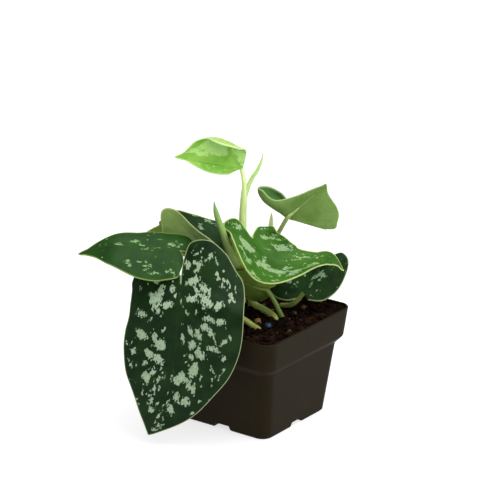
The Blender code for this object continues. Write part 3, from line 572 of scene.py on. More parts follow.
def patch_field(flat, patches, flecks, seed, length, width):
    """Millimetres inside the nearest patch, below 0 outside; the patches are silver, and on the top leaf the
    large ones are painted highlight. Each patch is a place across and along the blade, half its length and
    width, and its turn from the midrib in degrees; flecks adds small ones."""
    field = np.full(len(flat), -3.0)
    chance = np.random.default_rng(seed)
    small = [(chance.uniform(-1, 1) * width, chance.uniform(-0.25, 0.95) * length,
              0.5 + 1.3 * chance.random() ** 3, 0.3 + 0.5 * chance.random() ** 3, chance.normal(0, 35))
             for _ in range(flecks)]
    for x, y, long, wide, turn in list(patches) + small:
        dx, dy = flat[:, 0] - x, flat[:, 1] - y
        along = dx * sin(radians(turn)) + dy * cos(radians(turn))
        across = dx * cos(radians(turn)) - dy * sin(radians(turn))
        inside = (1 - np.hypot(along / long, across / wide)) * min(long, wide)
        field = np.maximum(field, inside)
    return field


def vein_count(flat):
    """Which side vein a place is on, as millimetres along the midrib; in the lobes they fan out.
    The whole steps added keep it above zero."""
    x, y = np.abs(flat[:, 0]), flat[:, 1]
    level = y - 0.5 * x - 0.008 * x**2
    fan = level * 25 / np.maximum(np.hypot(x, y), 4)
    return np.where(level < 0, fan, level) + 200 * VEIN_STEP


def grow_leaf(name, blade, finishes, patches=(), flecks=0, seed=1, step=1.0):
    """The blade of one leaf, with an upper, an under and an edge finish."""
    outline = blade.outline()
    width = np.abs(outline[:, 0]).max()

    def place(u, v):
        points, flat = blade.place(u, v)
        rim = np.full(len(flat), 99.0)
        for a, b in zip(outline[:-1], outline[1:]):
            span = b - a
            size = max(float(span @ span), 1e-9)
            share = np.clip(((flat - a) @ span) / size, 0, 1)
            rim = np.minimum(rim, np.hypot(*(flat - a - share[:, None] * span).T))
        taper = 0.35 + 0.9 * np.clip(1 - flat[:, 1] / blade.length, 0, 1)
        rib = np.exp(-(flat[:, 0] / taper) ** 2) * (flat[:, 1] > 0)
        vein = vein_count(flat)
        quilt = 0.04 * np.cos(2 * pi * vein / VEIN_STEP) * np.clip(rim / 6, 0, 1)
        marks = {"rim": rim, "rib": rib, "vein": vein, "relief": -0.3 * rib - quilt,
                 "silver_and_highlight": patch_field(flat, patches, flecks, seed, blade.length, width)}
        return points, flat, marks

    columns = round(blade.around / step)
    rows = round(blade.length / step)
    leaf = lay_sheet(name, columns, rows, place, finishes)
    work = bmesh.new()
    work.from_mesh(leaf.data)
    middle = blade.frame(np.array([blade.length / 2]))
    nearest = min(work.verts, key=lambda v: (v.co / MM - Vector(middle[0][0])).length)
    if nearest.normal.dot(Vector(middle[2][0])) < 0:
        bmesh.ops.reverse_faces(work, faces=work.faces)
        work.to_mesh(leaf.data)
    work.free()
    wall = leaf.modifiers.new("wall", "SOLIDIFY")
    wall.thickness = BLADE_THICKNESS * MM
    wall.offset = 0.0
    wall.material_offset = 1
    wall.material_offset_rim = 2
    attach(leaf, "root")
    return leaf


def grow_petiole(name, blade, points, radii, finish):
    """A petiole from the peat to the joint, running on as the raised midrib under the blade."""
    reach = np.array([1.0, 5.0, 10.0, 0.3 * blade.length, 0.5 * blade.length, 0.8 * blade.length])
    depth = np.array([1.9, 1.1, 0.7, 0.4, 0.3, 0.25])
    centre, _, up = blade.frame(reach)
    path = np.vstack([to_world(points), centre - depth[:, None] * up])
    stations = np.linspace(0, len(radii) - 1, len(points))
    widths = list(np.interp(stations, range(len(radii)), radii)) + [1.45, 1.1, 0.7, 0.35, 0.25, 0.1]
    return grow_stem(name, path, widths, finish)


front_blade = Blade({
    "midrib": [(-49, 30, 131.5), (-48.5, 42, 110.5), (-51, 52.5, 95.5), (-52, 55.5, 73), (-58, 59, 40),
               (-71, 57, 7.5)],
    "right_side": [(-0.97, -0.25, 0), (-0.97, -0.25, 0), (-0.97, -0.25, 0)],
    "left": [(5, 105.5), (18.5, 89), (30, 71), (40, 55), (45, 36), (46, 18), (43, 0.5), (37, -8),
             (30, -20), (20, -28.5), (8, -28), (3.5, -20), (1, -11), (0.3, -6)],
    "right": [(5, 105), (16.5, 93), (29.5, 75), (36, 53.5), (37, 38), (34.5, 21), (36, 5), (37.5, -4),
              (33, -12), (24, -14), (13, -12), (5, -10), (0.3, -6)],
    "rise": ([7, 11, 5, 0], [7, 6, 8, 0]),
    "curl": ([-45, -24, -18, -10], [-50, -31, -24, -15]),
})
front_silver = [
    (-5.7, -12.5, 3.5, 2.6, -20), (-12.3, -12.2, 4.1, 2.2, -65), (-11.1, -8.9, 2.7, 2.0, 30),
    (-19.9, -16.8, 4.0, 1.4, 40), (-11.6, -19.8, 3.2, 0.8, 55), (-9.9, -23.4, 1.8, 0.7, 35),
    (-15.1, -15.7, 1.5, 0.6, 20), (-25.7, -3.5, 3.7, 1.2, -25), (-26.6, -2.6, 2.7, 1.2, -75),
    (-8.6, -2.1, 5.8, 2.8, 65), (-10.8, 3.2, 4.2, 1.5, -35), (-17.4, 3.1, 5.2, 2.6, -55),
    (-12.9, 6.2, 3.3, 1.5, 15), (-9.3, 10.2, 5.1, 2.7, -85), (-19.6, 10.5, 6.4, 2.5, -50),
    (-28.3, 12.9, 4.1, 2.8, 45), (-18.3, 14.6, 4.5, 1.2, -35), (-35.6, 6.4, 2.8, 1.5, -30),
    (-35.5, 8.5, 2.7, 1.2, 80), (-32.8, -0.0, 2.0, 0.8, -35), (-31.6, 2.5, 1.7, 0.7, -65),
    (17.0, -3.5, 3.5, 2.8, -20), (17.4, -8.7, 3.8, 1.3, -75), (16.0, -6.2, 4.3, 0.9, -65),
    (5.7, 3.4, 2.9, 2.0, 15), (2.9, 7.8, 3.6, 0.7, 10), (13.0, 4.2, 4.4, 2.3, 20),
    (15.3, 11.6, 7.4, 4.0, 25), (19.4, 9.3, 3.2, 2.4, -50), (13.7, 17.1, 4.6, 1.6, 25),
    (6.7, 15.6, 3.8, 2.6, 80), (12.6, 19.5, 3.6, 1.9, -40), (17.4, 24.6, 3.3, 0.7, 35),
    (25.1, 22.3, 3.9, 2.4, -80), (29.2, 2.3, 2.2, 1.4, 10), (23.4, -0.6, 1.0, 0.9, -90),
    (24.3, 38.4, 4.9, 3.8, -45), (9.3, 32.5, 2.4, 1.0, 25), (14.3, 39.1, 5.3, 2.0, -15),
    (10.2, 43.7, 4.3, 4.2, -35), (17.1, 51.2, 4.3, 3.0, -40), (10.6, 53.4, 4.3, 3.2, -60),
    (18.4, 57.8, 3.2, 1.6, 15), (27.9, 52.7, 3.2, 1.8, -10), (30.5, 47.3, 2.3, 0.8, 15),
    (28.4, 63.3, 3.3, 1.0, -5), (16.2, 69.0, 5.3, 3.1, -15), (12.8, 64.0, 4.0, 1.9, 15),
    (7.3, 57.2, 3.7, 1.2, 10), (7.9, 68.5, 4.4, 1.1, 15), (8.8, 75.5, 4.9, 1.1, -10),
    (8.7, 83.6, 5.2, 1.1, -15), (5.2, 91.9, 2.5, 2.1, 60), (4.9, 65.6, 1.9, 0.6, 20),
    (5.5, 73.9, 2.0, 0.7, 0), (11.6, 82.5, 4.2, 0.5, -15), (15.7, 81.7, 2.1, 0.5, -10),
    (17.5, 90.8, 2.6, 0.8, -55), (-22.8, 22.6, 4.0, 1.9, -80), (-30.5, 23.6, 3.4, 2.8, 90),
    (-20.3, 27.6, 2.9, 2.5, -65), (-24.5, 31.0, 4.4, 2.1, -40), (-33.9, 35.3, 3.7, 1.6, 60),
    (-36.8, 32.7, 1.8, 1.1, -40), (-26.4, 39.8, 4.1, 1.7, -80), (-33.9, 45.1, 2.3, 1.9, -70),
    (-10.3, 30.9, 3.7, 1.8, -35), (-15.3, 32.6, 4.8, 2.1, -20), (-12.2, 39.7, 3.2, 3.1, -70),
    (-16.9, 43.8, 4.8, 2.8, -40), (-11.7, 47.8, 2.0, 1.6, -15), (-4.8, 36.7, 3.6, 1.3, -15),
    (-4.0, 27.6, 1.4, 0.6, -5), (-14.7, 56.0, 5.3, 3.8, 15), (-26.9, 52.8, 3.0, 1.1, -45),
    (-28.9, 60.1, 2.6, 0.8, 10), (-21.2, 61.6, 2.2, 0.6, -20), (-22.9, 46.3, 1.3, 0.6, -25),
    (-3.8, 65.9, 4.1, 2.1, -40), (-7.3, 62.8, 4.2, 3.4, 0), (-13.4, 65.2, 4.3, 2.3, -20),
    (-16.6, 67.8, 3.5, 1.9, -15), (-7.8, 76.2, 3.7, 2.2, -35), (-13.9, 76.7, 3.1, 3.0, -80),
    (-8.8, 50.8, 2.9, 0.9, -20), (-7.2, 18.7, 1.9, 0.8, -30), (-2.6, 13.1, 2.4, 0.7, -25),
    (-24.5, -13.2, 1.8, 0.8, -20), (-28.5, -7.1, 1.2, 0.7, -85), (-6.5, 85.7, 4.1, 2.6, -30),
    (-9.4, 86.3, 1.9, 1.2, -45), (5.8, 92.3, 2.3, 2.3, -65), (-4.2, 94.4, 1.3, 0.8, -45),
    (-4.5, 100.1, 3.4, 1.7, 35), (-1.4, 105.1, 2.9, 1.2, 35), (8.9, 85.4, 4.0, 1.1, -25),
    (-20.7, 81.6, 1.0, 1.3, 70), (-23.4, 74.2, 1.1, 0.7, 0), (-0.6, 95.8, 2.5, 0.6, 0),
    (-1.2, 90.4, 1.7, 0.5, -10), (8.8, 75.5, 2.7, 0.9, 5), (16.8, 90.6, 1.7, 1.1, -50),
]
front_finishes = [leaf_skin("old_leaf_waxy_dark_green", "#0a2008", "#173011", "#9bb194", "#8c9c70",
                            border=0.7),
                  leaf_back("old_leaf_underside_matt", "#4c6336", "#5a7140", "#7d8f58"),
                  leaf_edge("old_leaf_margin_cartilage", "#82926a")]
front = grow_leaf("front_leaf", front_blade, front_finishes, front_silver, flecks=60, seed=3, step=1.05)
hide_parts("leaf_front")
petiole_green = stem_finish("petiole_fleshy_green", "#98a350", "#93a856", "#8fa850")
front_petiole = grow_petiole("front_petiole", front_blade,
                             [(4.5, 30.5, 60), (4, 29.5, 71.5), (-1, 26.5, 75), (-8, 26, 80), (-25, 27, 91),
                              (-38, 33, 103)], (2.2, 1.9), petiole_green)
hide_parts("leaf_front")


# The left leaf: a half-grown blade, mid green and thinner, held level and pointing left, with only a few
# silver flecks in rows along its side veins.
left_blade = Blade({
    "midrib": [(-40, 24.5, 123), (-49.5, 25.5, 128), (-73.5, 28, 129.5), (-93.5, 27, 132), (-118, 21, 124)],
    "right_side": [(0, -0.8, 0.6), (0, -0.82, 0.57), (0, -0.9, 0.4)],
    "left": [(1.5, 67.5), (7, 58), (15.5, 47), (20.5, 34), (23.5, 19.5), (22.5, 10), (20.3, 0.5), (15, -3),
             (9.5, -4), (4, -2.7), (1, -1.5)],
    "right": [(1, 67), (6, 57.5), (11, 44), (15, 30.5), (18, 18), (16, 6), (14.5, -5), (8.5, -9.5),
              (1, -7)],
    "rise": ([5, 5, 5, 0], [5, 3, 4, 0]),
    "curl": ([-20, -20, -15, -5], [-30, -31, -20, -10]),
})
left_silver = [
    (1.6, 41.1, 2.7, 1.1, 15), (1.0, 40.4, 1.4, 0.9, 30), (5.9, 32.2, 3.5, 1.2, -10),
    (2.3, 54.0, 1.2, 0.7, -65), (13.1, 20.7, 1.6, 0.5, 5), (3.2, 24.2, 3.3, 0.8, 15),
    (1.0, 20.6, 2.3, 0.8, 10), (1.5, 16.5, 1.6, 0.5, 0), (9.4, 12.1, 1.8, 0.8, 15), (8.2, 2.6, 0.9, 0.5, 0),
    (3.9, 5.2, 2.6, 1.4, 30), (4.1, 0.5, 1.9, 0.5, -50), (-12.3, 32.5, 2.8, 1.2, 35),
    (-13.9, 31.5, 1.3, 1.1, -20), (-12.6, 34.0, 1.5, 0.8, -5), (-13.0, 23.0, 2.6, 1.1, -10),
    (-14.9, 23.1, 1.7, 1.1, -5), (-10.1, 26.2, 1.1, 0.5, -10), (-9.4, 22.6, 0.9, 0.5, 65),
    (-17.7, 17.3, 2.6, 0.8, 5), (-18.5, 19.7, 1.6, 0.6, 25), (-16.4, 9.0, 1.8, 0.8, 40),
    (-17.7, 5.1, 2.7, 1.2, 45), (-19.2, 3.8, 1.5, 1.2, 60), (-9.4, 3.2, 1.8, 0.5, -5),
    (7.2, 50.1, 1.1, 0.6, 85), (2.1, 50.0, 0.6, 0.6, 15), (-10.3, 11.2, 0.6, 0.5, 0),
]
left_finishes = [leaf_skin("grown_leaf_waxy_mid_green", "#16370c", "#224613", "#7da26c", "#6f8f45"),
                 leaf_back("grown_leaf_underside_matt", "#5d7a3a", "#6a8844", "#8aa45c"),
                 leaf_edge("grown_leaf_margin", "#8aa556")]
left = grow_leaf("left_leaf", left_blade, left_finishes, left_silver, flecks=14, seed=5)
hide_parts("leaf_left")
left_petiole = grow_petiole("left_petiole", left_blade,
                            [(-16, 3, 60), (-17, 5, 85), (-26, 14, 108), (-39, 21, 121)], (2.0, 1.7),
                            petiole_green)
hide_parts("leaf_left")


# The cupped leaf at the back left: its near half folds up and shows an olive underside with faint veins
# and a thin pale margin, and its far half shows the dark upper face.
cupped_blade = Blade({
    "midrib": [(-14, 7, 113.5), (-21.5, 2.5, 115.5), (-38, 2, 119.5), (-53, -2, 121.5), (-70.5, -8.5, 122)],
    "right_side": [(0.03, -0.98, 0.23), (0, -1, 0.12), (-0.1, -1, 0.1)],
    "left": [(1, 50.5), (8, 42.5), (14, 39.5), (33.5, 37), (27, 21.5), (27, 9), (17, 2), (11, -2.5), (5, -1)],
    "right": [(2.5, 50.5), (5.5, 42.5), (14, 37.5), (25, 40), (25.5, 28), (25, 17), (24, 4.5), (20.5, -1),
              (13.5, -4), (5.5, -3)],
    "rise": ([38, 39, 64, 46], [36, 36, 37, 40]),
    "curl": ([7, 9, 23, 10], [10, 10, 11, 12]),
})
cupped_silver = [
    (17.9, 19.6, 2.6, 1.8, 40), (19.5, 20.7, 1.8, 0.9, 0), (22.9, 15.0, 4.3, 0.8, 10),
    (22.3, 10.3, 3.6, 0.9, 10), (25.3, 27.7, 2.1, 0.5, 5), (21.3, 7.6, 2.4, 0.9, 5),
]
cupped_finishes = [leaf_skin("shaded_leaf_waxy_deep_green", "#143012", "#21421a", "#8aa886", "#8fa060"),
                   leaf_back("leaf_underside_matt_olive", "#74904a", "#84a05a", "#a3b070"),
                   leaf_edge("olive_leaf_margin", "#8c9c64")]
cupped = grow_leaf("cupped_leaf", cupped_blade, cupped_finishes, cupped_silver, flecks=10, seed=8)
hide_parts("leaf_back_left")
cupped_petiole = grow_petiole("cupped_petiole", cupped_blade, [(-15, -10, 60), (-15, -9, 85),
                                                               (-16.5, -4, 105)],
                              (2.0, 1.7), petiole_green)
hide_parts("leaf_back_left")


# The low back leaf: it stands on edge behind the left leaf, so only an olive strip of its underside shows.
low_blade = Blade({
    "midrib": [(-31.5, -28, 105), (-38.5, -30, 108.5), (-49, -31.5, 115), (-62.5, -33.5, 113),
               (-78, -33.5, 114), (-85.5, -33, 109)],
    "right_side": [(0, -1, 0.1), (0, -1, 0.1), (0, -1, 0.1)],
    "left": [(3, 46.5), (9, 41), (19, 33), (25.5, 14.5), (18.5, 3), (11.5, -4), (5, -3)],
    "right": [(2, 48), (7, 39.5), (14.5, 28), (19, 15), (20, 3), (18.5, -3), (13, -7.5), (6.5, -7), (2, -3)],
    "rise": ([50, 53, 51, 41], [20, 20, 20, 20]),
    "curl": ([20, 21, 21, 10], [10, 10, 10, 10]),
})
low_finishes = [leaf_skin("back_leaf_waxy_green", "#2a4a1c", "#3c5c26", "#86a070", "#8a9a4e"),
                leaf_back("leaf_underside_lit_olive", "#6c822f", "#798d3a", "#8c9b4f"),
                leaf_edge("back_leaf_margin", "#939f55")]
low = grow_leaf("low_back_leaf", low_blade, low_finishes, flecks=50, seed=12)
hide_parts("leaf_back_low")
low_petiole = grow_petiole("low_back_petiole", low_blade, [(-22, -26, 60), (-23, -26, 82), (-30, -28, 98)],
                           (2.0, 1.7), petiole_green)
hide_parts("leaf_back_low")


# The right leaf: a fresh, bright blade in the middle of the plant, streaked with silver along its veins,
# with a broad pale margin that catches the light.
right_blade = Blade({
    "midrib": [(-6, -6.5, 135.5), (-1, 6, 130), (12.5, 15.5, 118.5), (29.5, 18.5, 116), (50, 14, 120),
               (61, 13, 109)],
    "right_side": [(0.09, 0.87, -0.27), (-0.06, 0.91, -0.39), (0, 0.95, -0.29)],
    "left": [(4, 68.5), (3.5, 57), (15, 39.5), (20.5, 21.5), (24.5, 6.5), (19.5, -7.5), (17, -13.5),
             (10, -12), (4.5, -6.5)],
    "right": [(1, 71.5), (10, 60.5), (13.5, 41.5), (31, 24), (28, 6.5), (16, -4), (16.5, -13), (6, -19),
              (1, -10)],
    "rise": ([-2, 15, 11, 0], [6, 3, 12, 0]),
    "curl": ([-12, -9, -5, 0], [20, 11, 9, 0]),
})
right_silver = [
    (-9.7, 2.4, 3.4, 2.4, -35), (-14.9, 5.8, 4.2, 1.8, -50), (-18.1, 11.1, 2.0, 1.6, -15),
    (-18.6, 2.7, 3.1, 2.0, -50), (-11.7, 21.0, 8.6, 3.4, -10), (-11.6, 15.2, 5.7, 2.0, -20),
    (-11.9, 28.1, 5.8, 1.2, 0), (-4.2, 12.4, 1.9, 0.9, -30), (12.1, 1.7, 2.4, 4.9, -30),
    (11.9, 5.7, 4.7, 5.0, -55), (10.0, 8.1, 4.5, 2.8, -75), (21.7, 9.2, 3.8, 1.5, 35),
    (21.9, 13.3, 2.6, 2.3, -15), (20.9, 6.1, 2.2, 1.9, -30), (13.4, 17.2, 5.1, 2.3, -65),
    (6.3, 17.4, 4.8, 1.6, 75), (12.1, 19.7, 3.8, 3.3, 50), (8.6, 21.3, 1.6, 1.3, 40),
    (11.8, 25.9, 4.6, 2.8, -15), (10.8, 30.0, 3.3, 2.4, -65), (6.3, 30.8, 5.0, 1.3, -75),
    (5.4, 33.5, 2.5, 1.0, -70), (16.7, 29.2, 1.4, 1.6, -20), (28.0, 21.4, 1.1, 2.0, -40),
    (28.4, 18.4, 1.4, 2.4, -5), (10.1, 36.1, 3.8, 2.6, -30), (13.3, 34.2, 3.1, 2.1, -55),
    (-4.8, 41.6, 9.3, 0.6, 15), (-3.5, 36.4, 4.8, 0.5, -10), (-2.7, 47.9, 6.3, 0.9, 25),
    (-7.0, 43.6, 5.3, 0.8, 20), (6.1, 45.0, 3.3, 1.7, -5), (6.5, 48.4, 4.1, 1.9, 20),
    (-14.7, 30.6, 5.2, 0.9, 5), (23.3, 28.0, 2.3, 0.6, -75), (7.7, 41.8, 1.4, 1.4, -25),
    (19.7, 22.2, 0.7, 0.9, -50), (19.5, 24.2, 0.6, 0.7, -30), (11.3, -13.3, 2.4, 0.5, 90),
    (5.5, -12.1, 3.9, 2.0, -30), (6.5, -10.0, 2.7, 1.4, -65), (-10.9, -7.8, 2.0, 1.1, -85),
]
right_finishes = [leaf_skin("fresh_leaf_waxy_bright_green", "#294f11", "#39661a", "#84a075", "#a2bd68",
                            border=1.0),
                  leaf_back("fresh_leaf_underside", "#5f8038", "#6c9042", "#8fae58"),
                  leaf_edge("fresh_leaf_margin", "#a4b272")]
right = grow_leaf("right_leaf", right_blade, right_finishes, right_silver, flecks=30, seed=21)
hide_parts("leaf_right")
right_petiole = grow_petiole("right_petiole", right_blade,
                             [(-2, -13, 60), (-2, -13, 80), (-2, -11.5, 100), (-2, -4.5, 117)], (2.0, 1.8),
                             petiole_green)
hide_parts("leaf_right")


# The inner leaf: a small blade that turns its olive underside to the front, low among the petioles.
inner_blade = Blade({
    "midrib": [(11.5, 3.5, 92.3), (9.5, 4.5, 93), (2, 6.5, 95), (-10, 6, 99), (-19.5, 7, 100.5),
               (-30.5, 7, 99)],
    "right_side": [(-0.22, -0.32, -0.99), (-0.21, -0.31, -0.99), (-0.2, -0.3, -1)],
    "left": [(1, 39.5), (4, 32.5), (8, 23), (10.5, 12.5), (11, 2.5), (9, -3), (4, -4.5)],
    "right": [(1.5, 39.5), (5.5, 32.5), (11, 23), (14, 12.5), (16.5, 3), (13.5, -3), (6.5, -4.5)],
    "rise": ([0, 0, 0, 0], [4, 6, 0, 0]),
    "curl": ([20, 20, 10, 10], [22, 24, 10, 10]),
})
inner_finishes = [leaf_skin("inner_leaf_waxy_green", "#2a4a18", "#395a22", "#86a070", "#6c7a34"),
                  leaf_back("inner_leaf_underside_olive", "#5f782f", "#718b3b", "#809343"),
                  leaf_edge("inner_leaf_margin", "#6f7d38")]
inner = grow_leaf("inner_leaf", inner_blade, inner_finishes, flecks=20, seed=31)
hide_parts("leaf_under")
inner_petiole = grow_petiole("inner_petiole", inner_blade,
                             [(20.5, 9.5, 60), (20, 9.5, 72), (17, 8.5, 79), (13.5, 7, 86)], (1.8, 1.6),
                             stem_finish("petiole_fleshy_deep_green", "#5d7830", "#78923f", "#84a04e"))
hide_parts("leaf_under")


# The dark leaf low at the right: an old blade in the shade of the plant, with curled sides, a few flecks
# and a thin pale margin. It bows between its joint and its margin too far for a flat outline.
BOW_SCALE = 27 / 8
MIDWAY = 0.5
WIDEST_LOBE = radians(160)


class CurledBlade:
    """A blade of bowed lines that run from the petiole's joint to its margin, as in the solid."""

    def __init__(self, leaf):
        self.joint = to_world(leaf["joint"])
        self.edge = to_world(leaf["margin"])
        self.bow = to_world(leaf["bow"])
        self.tip = leaf["tip"]
        self.midrib = np.array([self.points([self.tip], share)[0] for share in np.linspace(0, 1, 60)])
        self.run = run_of(self.midrib)
        self.length = self.run[-1]
        self.t = np.linspace(0, len(self.edge) - 1, 60 * len(self.edge))
        self.margin = smooth_curve(self.edge, self.t)
        self.margin_run = run_of(self.margin)
        self.around = self.margin_run[-1]

    def points(self, t, share):
        """The points at a share of the way out to the margin; t counts the margin's points."""
        share = np.reshape(share, (-1, 1))
        reach = share * (smooth_curve(self.edge, t) - self.joint)
        return self.joint + reach + BOW_SCALE * share**2 * (1 - share) * smooth_curve(self.bow, t)

    def frame(self, y):
        """Point, side and upward directions at distances y along the midrib from the joint."""
        y = np.asarray(y, dtype=float)
        ends = between(y, self.run, self.midrib)
        tangent = np.gradient(self.midrib, axis=0)
        along = unit(between(y, self.run, tangent))
        side = self.points([self.tip - 1.0], MIDWAY) - self.points([self.tip + 1.0], MIDWAY)
        side = unit(side - np.sum(side * along, axis=1, keepdims=True) * along)
        return ends, side, np.cross(side, along)

    def flat_edge(self, run):
        """Where a place on the margin lies in the blade's own flat map."""
        middle = np.interp(self.tip, self.t, self.margin_run)
        total = self.margin_run[-1]
        turn = np.where(run < middle, (middle - run) / middle, (middle - run) / (total - middle)) * WIDEST_LOBE
        points = between(run, self.margin_run, self.margin)
        reach = np.linalg.norm(points - self.joint, axis=1)
        return np.stack([reach * np.sin(turn), reach * np.cos(turn)], 1)

    def place(self, u, v):
        """World points and flat places; u runs round the margin from the right lobe to the left one."""
        middle = np.interp(self.tip, self.t, self.margin_run)
        run = np.where(u < 0.5, 2 * u * middle, middle + (2 * u - 1) * (self.margin_run[-1] - middle))
        share = v ** BLADE_SPREAD
        points = self.points(np.interp(run, self.margin_run, self.t), share)
        return points, self.flat_edge(run) * share[:, None]

    def outline(self):
        """The whole margin in the flat map."""
        return self.flat_edge(np.linspace(0, self.margin_run[-1], 160))


dark_blade = CurledBlade({
    "joint": (33.5, -3.5, 88.5),
    "margin": [(37, 5, 85), (43.5, 6, 84.5), (49, 3, 84.5), (55, -3, 86.5), (59, -8, 89.5), (62.5, -14, 94.5),
               (65, -20, 100.5), (64.5, -25, 104.5), (60.5, -30, 106.5), (53.5, -36, 102),
               (44.5, -33, 102.5), (34, -27, 104.5), (25, -20, 105), (16.5, -12, 102), (11, -4, 97.5),
               (10, 1, 92.5), (14.5, 4, 87), (22, 6, 85), (29, 4.5, 85.5)],
    "bow": [(0, 0, 0), (0, 0, 1), (0, 0, 1), (0, 1, 1), (0, 1, 2), (0, 1, 2), (0, 1, 2), (0, 1, 2),
            (0, 1, 1), (0, 0, -1), (0, 1, 1), (0, 1, 2), (0, 1, 2), (0, 1, 2), (0, 1, 2), (0, 1, 2),
            (0, 1, 1), (0, 0, 1), (0, 0, 0)],
    "tip": 9,
})
dark_silver = [
    (-10.2, -0.7, 1.5, 1.1, 55), (-6.1, 2.0, 1.1, 1.1, 45), (4.4, 15.9, 4.8, 6.5, -25),
    (12.2, 13.8, 4.4, 2.3, -40), (10.4, -3.0, 1.3, 0.5, -80), (-6.2, -0.0, 1.0, 0.7, -70),
    (-8.9, -6.6, 2.7, 0.5, 20), (10.4, 9.8, 1.9, 1.7, -80), (5.2, 8.8, 1.1, 0.8, 30),
    (3.0, 6.2, 1.0, 1.1, 40),
]
dark_finishes = [leaf_skin("shaded_leaf_waxy_black_green", "#0c1c06", "#15300c", "#6f8a6c", "#6f8052",
                           shine=0.05),
                 leaf_back("shaded_leaf_underside", "#33451c", "#3d5022", "#55663a"),
                 leaf_edge("shaded_leaf_margin", "#7d8c58")]
dark = grow_leaf("dark_leaf", dark_blade, dark_finishes, dark_silver, flecks=40, seed=41)
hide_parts("leaf_right_low")
dark_petiole = grow_petiole("dark_petiole", dark_blade,
                            [(17, -17, 60), (17.5, -16.5, 71.5), (20.5, -12, 74.5), (25.5, -8, 76.5),
                             (29.5, -5.5, 80.5)], (1.9, 1.7), petiole_green)
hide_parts("leaf_right_low")


# The back right leaf: cupped like a shell, so that its matt grey-green underside faces the front, with a
# pale turned rim and a little of the dark upper face showing over it.
shell_blade = CurledBlade({
    "joint": (22.5, -13.5, 137.5),
    "margin": [(23.5, -22, 147), (20, -26, 150.5), (16, -26, 153.5), (11, -23, 157), (5.5, -17, 159.5),
               (3, -12, 160), (6.5, -8.5, 159), (10, -7, 155.5), (14.5, -7, 153), (20, -8.5, 153),
               (26, -10.5, 154), (32.5, -13, 155.5), (39.5, -15, 158), (46.5, -17, 160),
               (49.5, -17.5, 161), (50.5, -16, 155), (54, -14.5, 149.5), (56.5, -13, 146),
               (58, -12, 141), (57, -11, 135.5), (55.5, -10, 131.5), (48.5, -9, 131)],
    "bow": [(-1, -4, -2), (-3, -7, -3), (-5, -7, -4), (-7, -5, -4), (-8, -2, -3), (-7, 0, -2),
            (-9, 2, -2), (-5, 3, -1), (-2, 3, -1), (-2, 4, -1), (-1, 3, 0), (0, 2, 0), (0, 1, 0),
            (0, 1, 0), (0, 1, 0), (0, 2, 1), (0, 3, 1), (0, 3, 1), (0, 3, 1), (0, 3, 1), (0, 3, 0),
            (0, 1, 0)],
    "tip": 14,
})
shell_finishes = [leaf_skin("cupped_leaf_waxy_green", "#47703a", "#588446", "#8fb07c", "#a9c08a"),
                  leaf_back("leaf_underside_matt_grey_green", "#5a7a35", "#6b8746", "#93b070"),
                  leaf_edge("cupped_leaf_margin", "#98af77")]
shell = grow_leaf("back_right_leaf", shell_blade, shell_finishes, flecks=60, seed=51, step=0.9)
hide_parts("leaf_back_right")
shell_petiole = grow_petiole("back_right_petiole", shell_blade,
                             [(4, -34, 60), (5, -32, 85), (9, -25, 108), (17.5, -16.5, 127)], (1.9, 1.55),
                             stem_finish("petiole_fleshy_olive", "#98a350", "#98ab64", "#86a463"))
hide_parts("leaf_back_right")


# The top leaf: the newest one, lime green and soft, still half rolled so that its far side shows as a pale
# band along the top. Its stem also carries a pointed sheath.
top_blade = CurledBlade({
    "joint": (-7.5, -11, 174.5),
    "margin": [(-5, -11, 185.5), (-6, -8, 188.5), (-10, -6, 189.5), (-16, -5, 191.5), (-22, -5, 193),
               (-27.5, -6.5, 195), (-30.5, -8.5, 196), (-34.5, -10, 195.5), (-39.5, -10.5, 193.5),
               (-44, -10.5, 189), (-48, -10, 185.5), (-53.5, -9, 183), (-49, -8.5, 181.5),
               (-45.5, -8.5, 180.5), (-41.5, -8, 178), (-36, -7.5, 175), (-31, -7, 173),
               (-24.5, -7, 171.5), (-17, -7.5, 171)],
    "bow": [(0.5, -3, 1), (0.5, -5, 4), (0, -8, 6), (0, -10, 9), (0, -11, 11), (0, -10, 10.5),
            (0, -8, 8.5), (0, -6, 6), (0, -4, 3.5), (0, -3, 1.5), (0, -1.5, 0.5), (0, -1.5, -0.5),
            (0, -1.5, -1), (0, -2, -1), (0, -2, -1), (0, -2, -1), (0, -2, -1), (0, -2, -1), (0, -1, 0)],
    "tip": 11,
})
# the small patches are the new leaf's silver flecks; the six large ones at the end are painted highlight, pale
# zones where light shines on the leaf
top_silver_and_painted_highlight = [
    (-20.3, 20.5, 2.0, 0.9, 35), (-19.1, 15.5, 2.2, 0.9, 20), (-14.4, 11.1, 1.8, 1.0, -25),
    (-12.2, -2.3, 1.8, 0.9, 25), (-22.4, 6.6, 2.4, 1.0, -5), (-14.2, -6.6, 1.6, 0.9, -60),
    (-10.5, 29.4, 1.8, 0.9, 70), (-17, 10, 1.5, 0.8, 10), (-20, 0, 1.8, 0.8, 0), (-18, 25, 1.6, 0.8, 30),
    (16.1, 30.4, 6.8, 3.2, -25), (19.5, 20.0, 7.4, 3.3, 0), (18.7, 11.5, 12.3, 8.6, -5),
    (12.6, 25.6, 6.7, 3.0, -20), (5.5, -4.8, 5.7, 3.0, -35), (8.9, -2.7, 2.2, 3.6, -30),
]
top_finishes = [leaf_skin("new_leaf_soft_lime", "#70a83b", "#8fbf53", "#a9d67a", "#b4d685"),
                leaf_back("new_leaf_underside_pale_lime", "#8cab54", "#a3b773", "#b9dc8c"),
                leaf_edge("new_leaf_margin", "#c2e08e")]
top = grow_leaf("top_leaf", top_blade, top_finishes, top_silver_and_painted_highlight, flecks=10, seed=61, step=0.9)
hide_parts("shoot_top")
top_stem_green = stem_finish("top_stem_waxy_yellow_green", "#cbe489", "#d7efa0", "#a3c864")
top_stem = grow_petiole("top_stem", top_blade,
                        [(-8, -23, 60), (-7.5, -19, 100), (-7.5, -15, 130), (-7.3, -14, 141),
                         (-6.7, -13, 152), (-6.5, -12, 163)], (2.5, 2.6, 2.7, 2.6, 2.4, 1.6), top_stem_green)
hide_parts("shoot_top")
